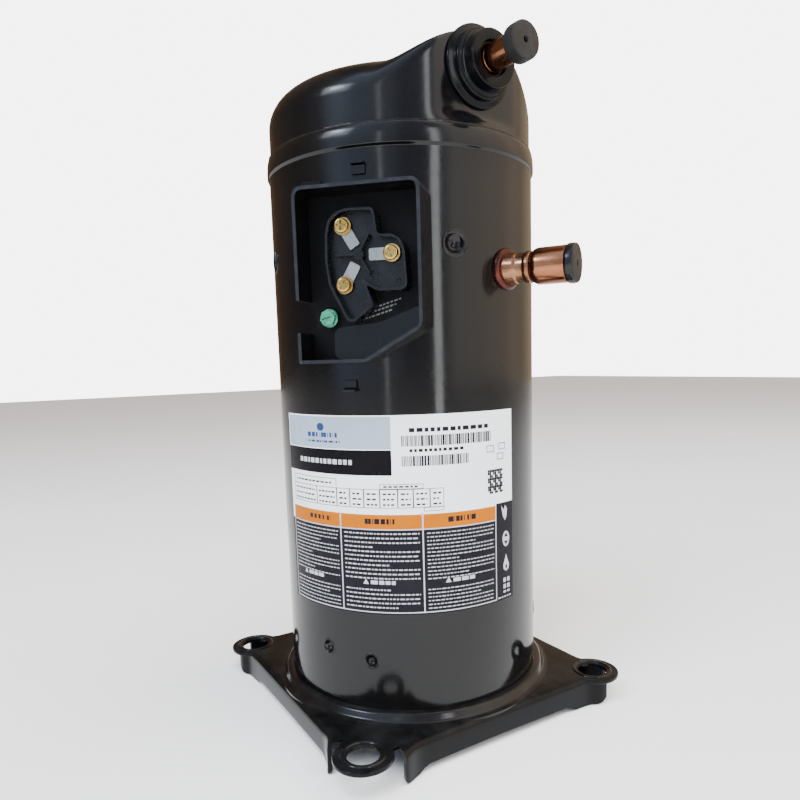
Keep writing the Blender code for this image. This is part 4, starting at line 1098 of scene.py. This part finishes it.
def label():
    """The wrap: a white panel with fields and bars, an orange strip over a dark panel, and marks.

    Patches, frames and words are placed by azimuths and heights.
    """
    random.seed(11)
    white_low, strip_low = 156.0, 145.6
    split, text_end = -38.0, 5.8
    dividers = (-60.2, -26.6)
    base = Print(0.0, FILM_T)
    base.patch(LABEL_FROM, LABEL_TO, LABEL_LOW, LABEL_HIGH)
    base.done("label_wrap", "label_film", ["label"])

    edges = (LABEL_FROM + 1.6, *dividers, text_end)
    for name, look, areas in (
        ("print_pale", "pale_panel", [(LABEL_FROM + 0.6, split, 196.0, LABEL_HIGH - 0.8)]),
        ("print_band", "dark_band", [(LABEL_FROM, split, 179.6, 195.4)]),
        ("print_panel", "dark_panel", [(LABEL_FROM, LABEL_TO, LABEL_LOW, strip_low),
                                       (text_end, LABEL_TO, strip_low, white_low)]),
        ("print_strip", "orange_strip", [(start + 0.3, end - 0.3, strip_low, white_low - 1.2)
                                         for start, end in zip(edges, edges[1:])]),
    ):
        field = Print(FILM_T)
        for area in areas:
            field.patch(*area)
        field.done(name, look)

    ink = Print(FILM_T)
    for azimuth, width in ((-73.0, 9.0), (-66.0, 2.0)):
        ink.patch(azimuth - width / 2, azimuth + width / 2, 149.0, 152.0)
    for middle in (-43.5, -10.5):
        ink.words(middle - 6, middle + 6, 148.8, 3.4, word=(2.0, 3.4))
    ink.words(-31.0, 2.0, 206.3, 2.6, gap=0.8, word=(1.3, 2.6))
    ink.words(-31.0, -9.0, 194.0, 1.9, gap=0.7, word=(1.0, 2.0))
    for low, high, end in ((197.6, 204.2, 3.0), (185.2, 191.6, -7.2)):
        azimuth = -34.0
        while azimuth < end:
            width = random.choice((0.28, 0.36, 0.5, 0.8))
            ink.patch(azimuth, azimuth + width, low, high)
            azimuth += width + random.choice((0.2, 0.28, 0.4))
    ink.squares(9, (7, 5), 1.6, 163.2, (0.92, 1.75), (0.86, 1.7))
    for azimuth, z in ((3.0, 192.5), (9.5, 193.5), (8.5, 187.0)):
        ink.frame(azimuth - 1.9, azimuth + 1.9, z - 2.2, z + 2.2, 0.5)
    ink.frame(-88.0, -61.5, 170.6, 176.8)
    ink.words(-86.0, -64.0, 173.2, 1.1, word=(1.0, 2.2))
    edges = (-88.0, -72.0, -61.5, -55.5, -49.5, -43.0, -36.0, -30.0, -23.5, -18.0)
    for start, end in zip(edges, edges[1:]):
        ink.frame(start, end, 159.0, 171.0 if start >= -61.6 else 170.9)
        for row in range(3):
            ink.words(start + 1.2, end - 1.0, 160.6 + row * 3.4, 1.1)
    ink.frame(-43.0, -26.0, 171.0, 174.2)
    ink.words(-41.5, -28.0, 172.0, 1.1)
    ink.frame(-26.0, -18.0, 156.6, 159.2)
    ink.done("print_ink", "dark_ink")

    blue = Print(FILM_T)
    blue.words(-76.0, -60.0, 203.0, 3.0, word=(1.8, 3.0))
    blue.words(-77.0, -59.0, 199.6, 1.3, word=(1.6, 3.4))
    blue.ellipse((-68.5, 209.5), 3.0, 2.6, 24)
    blue.done("print_blue", "blue_ink")

    light = Print(FILM_T + INK_T)
    light.words(-82.0, -54.0, 186.0, 3.1, gap=0.7, word=(1.0, 2.2))
    light.frame(LABEL_FROM + 1.6, text_end, LABEL_LOW + 1.0, strip_low, 0.7)
    for azimuth in dividers:
        light.patch(azimuth - 0.25, azimuth + 0.25, LABEL_LOW + 1.0, white_low)
    columns = ((LABEL_FROM + 3.2, -61.6, 0.62, 2.45), (-58.6, -28.0, 0.8, 2.9), (-25.0, 4.4, 0.62, 2.45))
    for start, end, height, pitch in columns:
        z = strip_low - 3.4
        row = 0
        while z > LABEL_LOW + 3.0:
            if HEADING_LOW < z < HEADING_HIGH:
                middle = (start + end) / 2
                light.polygon((middle - 6.5, z + 0.9), [(-1.9, -1.5), (1.9, -1.5), (0, 1.9)])
                light.words(middle - 4.5, middle + 5.5, z - 0.5, 2.4, word=(1.8, 3.2))
                z -= 4.6
                continue
            full = end if row % 4 != 3 else start + (end - start) * random.uniform(0.35, 0.8)
            light.words(start, full, z, height * 1.05, gap=0.5, word=(0.5, 1.9))
            z -= pitch
            row += 1
    glove = [(-2.9, 4.5), (-0.5, 1.5), (0.8, 4.4), (2.8, 2.0), (2.2, -3.0), (0.6, -5.6), (-1.4, -2.6)]
    light.polygon((10.6, 149.4), glove)
    light.ellipse((11.5, 131.2), 3.4, 5.2, 28)
    drop = [(0.0, 6.0), (-1.6, 2.2), (-2.9, -1.2), (-2.4, -4.0), (0.0, -5.4), (2.4, -4.0), (2.9, -1.2),
            (1.4, 2.2)]
    light.polygon((11.5, 114.6), drop)
    light.squares(7, (5, 3), 8.9, 94.6, (0.8, 1.45), (0.74, 1.4))
    light.words(6.6, 14.5, 91.4, 0.9, word=(0.7, 1.6))
    light.done("print_light", "pale_ink")

    core = Print(FILM_T + 4 * INK_T)
    core.polygon((11.5, 133.0), [(-1.9, -0.4), (1.9, -0.4), (0, 2.4)])
    core.polygon((11.5, 129.4), [(-1.9, 0.4), (0, -2.4), (1.9, 0.4)])
    core.polygon((11.5, 112.4), [(0.0, 1.9), (-1.2, -0.5), (0.0, -2.1), (1.2, -0.5)])
    core.done("print_core", "dark_panel")


# ---------------------------------------------------------------- inner pieces, stage, light and camera


def dress_cad_nodes():
    """Every CAD node that still shows takes its slot's procedural material."""
    for entry in frame["record"]["subparts"]:
        thing = frame["nodes"][entry["node"]]
        look = LOOKS[entry["material_slot"]]
        thing.data.materials.clear()
        thing.data.materials.append(look)


def floor_look():
    look = Surface("pale_floor", (0.86, 0.86, 0.86), roughness=0.65)
    look.mottle(3, (0.83, 0.83, 0.835), strength=0.5).vary_roughness(5, 0.05)
    return look.made


def stage():
    mesh = bpy.data.meshes.new("floor")
    shape = bmesh.new()
    bmesh.ops.create_grid(shape, x_segments=1, y_segments=1, size=FLOOR_HALF)
    shape.to_mesh(mesh)
    shape.free()
    mesh.materials.append(floor_look())
    floor = bpy.data.objects.new("floor", mesh)
    floor.location = (0, 0, -FLOOR_DROP)
    bpy.context.scene.collection.objects.link(floor)


# What the room sends towards the object, by the direction's azimuth in degrees: a dim warm side, a cool
# window in front, and a wide warm wall on the right.
ROOM = (
    (-180, (0.18, 0.11, 0.06)),
    (-125, (0.21, 0.16, 0.13)),
    (-104, (0.38, 0.37, 0.38)),
    (-84, (1.28, 1.57, 2.16)),
    (-66, (0.99, 1.22, 1.60)),
    (-42, (0.96, 1.06, 1.25)),
    (-26, (0.54, 0.54, 0.67)),
    (0, (0.64, 0.62, 0.67)),
    (14, (2.16, 2.05, 1.89)),
    (44, (2.24, 1.95, 1.63)),
    (68, (1.84, 1.47, 1.15)),
    (96, (0.93, 0.72, 0.50)),
    (130, (0.64, 0.45, 0.29)),
    (180, (0.18, 0.11, 0.06)),
)
ROOM_PEAK = 2.4
BACKDROP = 6.0
AIM_HEIGHT = 0.23
FLOOR_HALF = 6.0
FLOOR_DROP = 0.0004


def world():
    """A room whose colour follows the azimuth, a little brighter overhead, and a white backdrop."""
    made = bpy.data.worlds.new("room")
    bpy.context.scene.world = made
    made.use_nodes = True
    room = Nodes(made.node_tree)
    split = room.node("ShaderNodeSeparateXYZ")
    room.link(room.node("ShaderNodeTexCoord").outputs["Generated"], split.inputs["Vector"])
    azimuth = room.math("ARCTAN2", split.outputs["Y"], split.outputs["X"])
    ramp = room.node("ShaderNodeValToRGB")
    ramp.color_ramp.interpolation = "EASE"
    stops = ramp.color_ramp.elements
    for i, (degrees, colour) in enumerate(ROOM):
        place = (degrees + 180) / 360
        stop = stops[0] if i == 0 else stops[-1] if i == len(ROOM) - 1 else stops.new(place)
        stop.position = place
        stop.color = (*[value / ROOM_PEAK for value in colour], 1)
    room.link(room.mapped(azimuth, -math.pi, math.pi, 0, 1), ramp.inputs["Fac"])
    scaled = room.node("ShaderNodeVectorMath", operation="SCALE")
    room.link(ramp.outputs["Color"], scaled.inputs[0])
    room.link(room.mapped(split.outputs["Z"], 0.15, 0.9, ROOM_PEAK, ROOM_PEAK * 1.2), scaled.inputs["Scale"])
    mix = room.node("ShaderNodeMix", data_type="RGBA")
    mix.inputs["B"].default_value = (BACKDROP, BACKDROP, BACKDROP, 1)
    room.link(scaled.outputs["Vector"], mix.inputs["A"])
    room.link(room.node("ShaderNodeLightPath").outputs["Is Camera Ray"], mix.inputs["Factor"])
    background = room.tree.nodes["Background"]
    room.link(mix.outputs["Result"], background.inputs["Color"])
    background.inputs["Strength"].default_value = 1.0


def panel(name, azimuth, distance, height, width, tall, power, colour, mirrored=True):
    """A soft rectangular light that faces the compressor's middle. mirrored is whether gloss shows it."""
    data = bpy.data.lights.new(name, "AREA")
    data.shape = "RECTANGLE"
    data.size = width
    data.size_y = tall
    data.energy = power
    data.color = colour
    thing = bpy.data.objects.new(name, data)
    x, y = polar(distance, azimuth)
    thing.location = (x, y, height)
    direction = Vector((0, 0, AIM_HEIGHT)) - thing.location
    thing.rotation_euler = direction.to_track_quat("-Z", "Y").to_euler()
    thing.visible_glossy = mirrored
    bpy.context.scene.collection.objects.link(thing)


def lights():
    panel("key", -48, 1.05, 1.65, 1.5, 1.5, 82, (0.95, 0.985, 1.0), mirrored=False)
    panel("floor_fill", 60, 1.6, 1.9, 2.2, 2.2, 52, (0.93, 0.975, 1.0), mirrored=False)
    panel("window", -86, 1.5, 1.35, 0.7, 0.5, 8, (0.78, 0.88, 1.0))
    panel("window_core", -86, 1.49, 1.40, 0.3, 0.22, 4.5, (0.9, 0.95, 1.0))
    panel("streak", -4, 1.9, 0.60, 0.22, 1.7, 10, (0.97, 0.99, 1.0))
    panel("thin_streak", -47, 1.9, 0.60, 0.08, 1.3, 1.3, (0.95, 0.98, 1.0))


CAMERA_PLACE = (0.4258, -0.2605, 0.2499)
CAMERA_YAW = 1.019
CAMERA_PITCH = 0.127
CAMERA_ROLL = -0.028
FOCAL_OVER_WIDTH = 0.836
SENSOR = 36.0
SHIFT_X = -0.0123
SHIFT_Y = 0.0573


def camera():
    data = bpy.data.cameras.new("view")
    data.sensor_width = SENSOR
    data.lens = SENSOR * FOCAL_OVER_WIDTH
    data.shift_x = SHIFT_X
    data.shift_y = SHIFT_Y
    data.clip_start = 0.01
    data.dof.use_dof = False
    yaw, pitch, roll = CAMERA_YAW, CAMERA_PITCH, CAMERA_ROLL
    forward = Vector((-math.sin(yaw) * math.cos(pitch), math.cos(yaw) * math.cos(pitch), -math.sin(pitch)))
    level = Vector((math.cos(yaw), math.sin(yaw), 0))
    above = level.cross(forward)
    right = math.cos(roll) * level + math.sin(roll) * above
    up = -math.sin(roll) * level + math.cos(roll) * above
    columns = Matrix((right, up, -forward)).transposed()
    thing = bpy.data.objects.new("view", data)
    thing.matrix_world = Matrix.Translation(CAMERA_PLACE) @ columns.to_4x4()
    bpy.context.scene.collection.objects.link(thing)
    bpy.context.scene.camera = thing


dress_cad_nodes()
fine_shell()
plug_welds()
fine_cap()
girth_weld()
fine_bottom_cap()
base_sheet()
base_collar()
side_flanges()
discharge_line()
suction_pipe()
fine_box()
box_floor_detail()
fine_block()
terminal_screws()
ground_screw()
cover_clips()
label()
stage()
world()
lights()
camera()
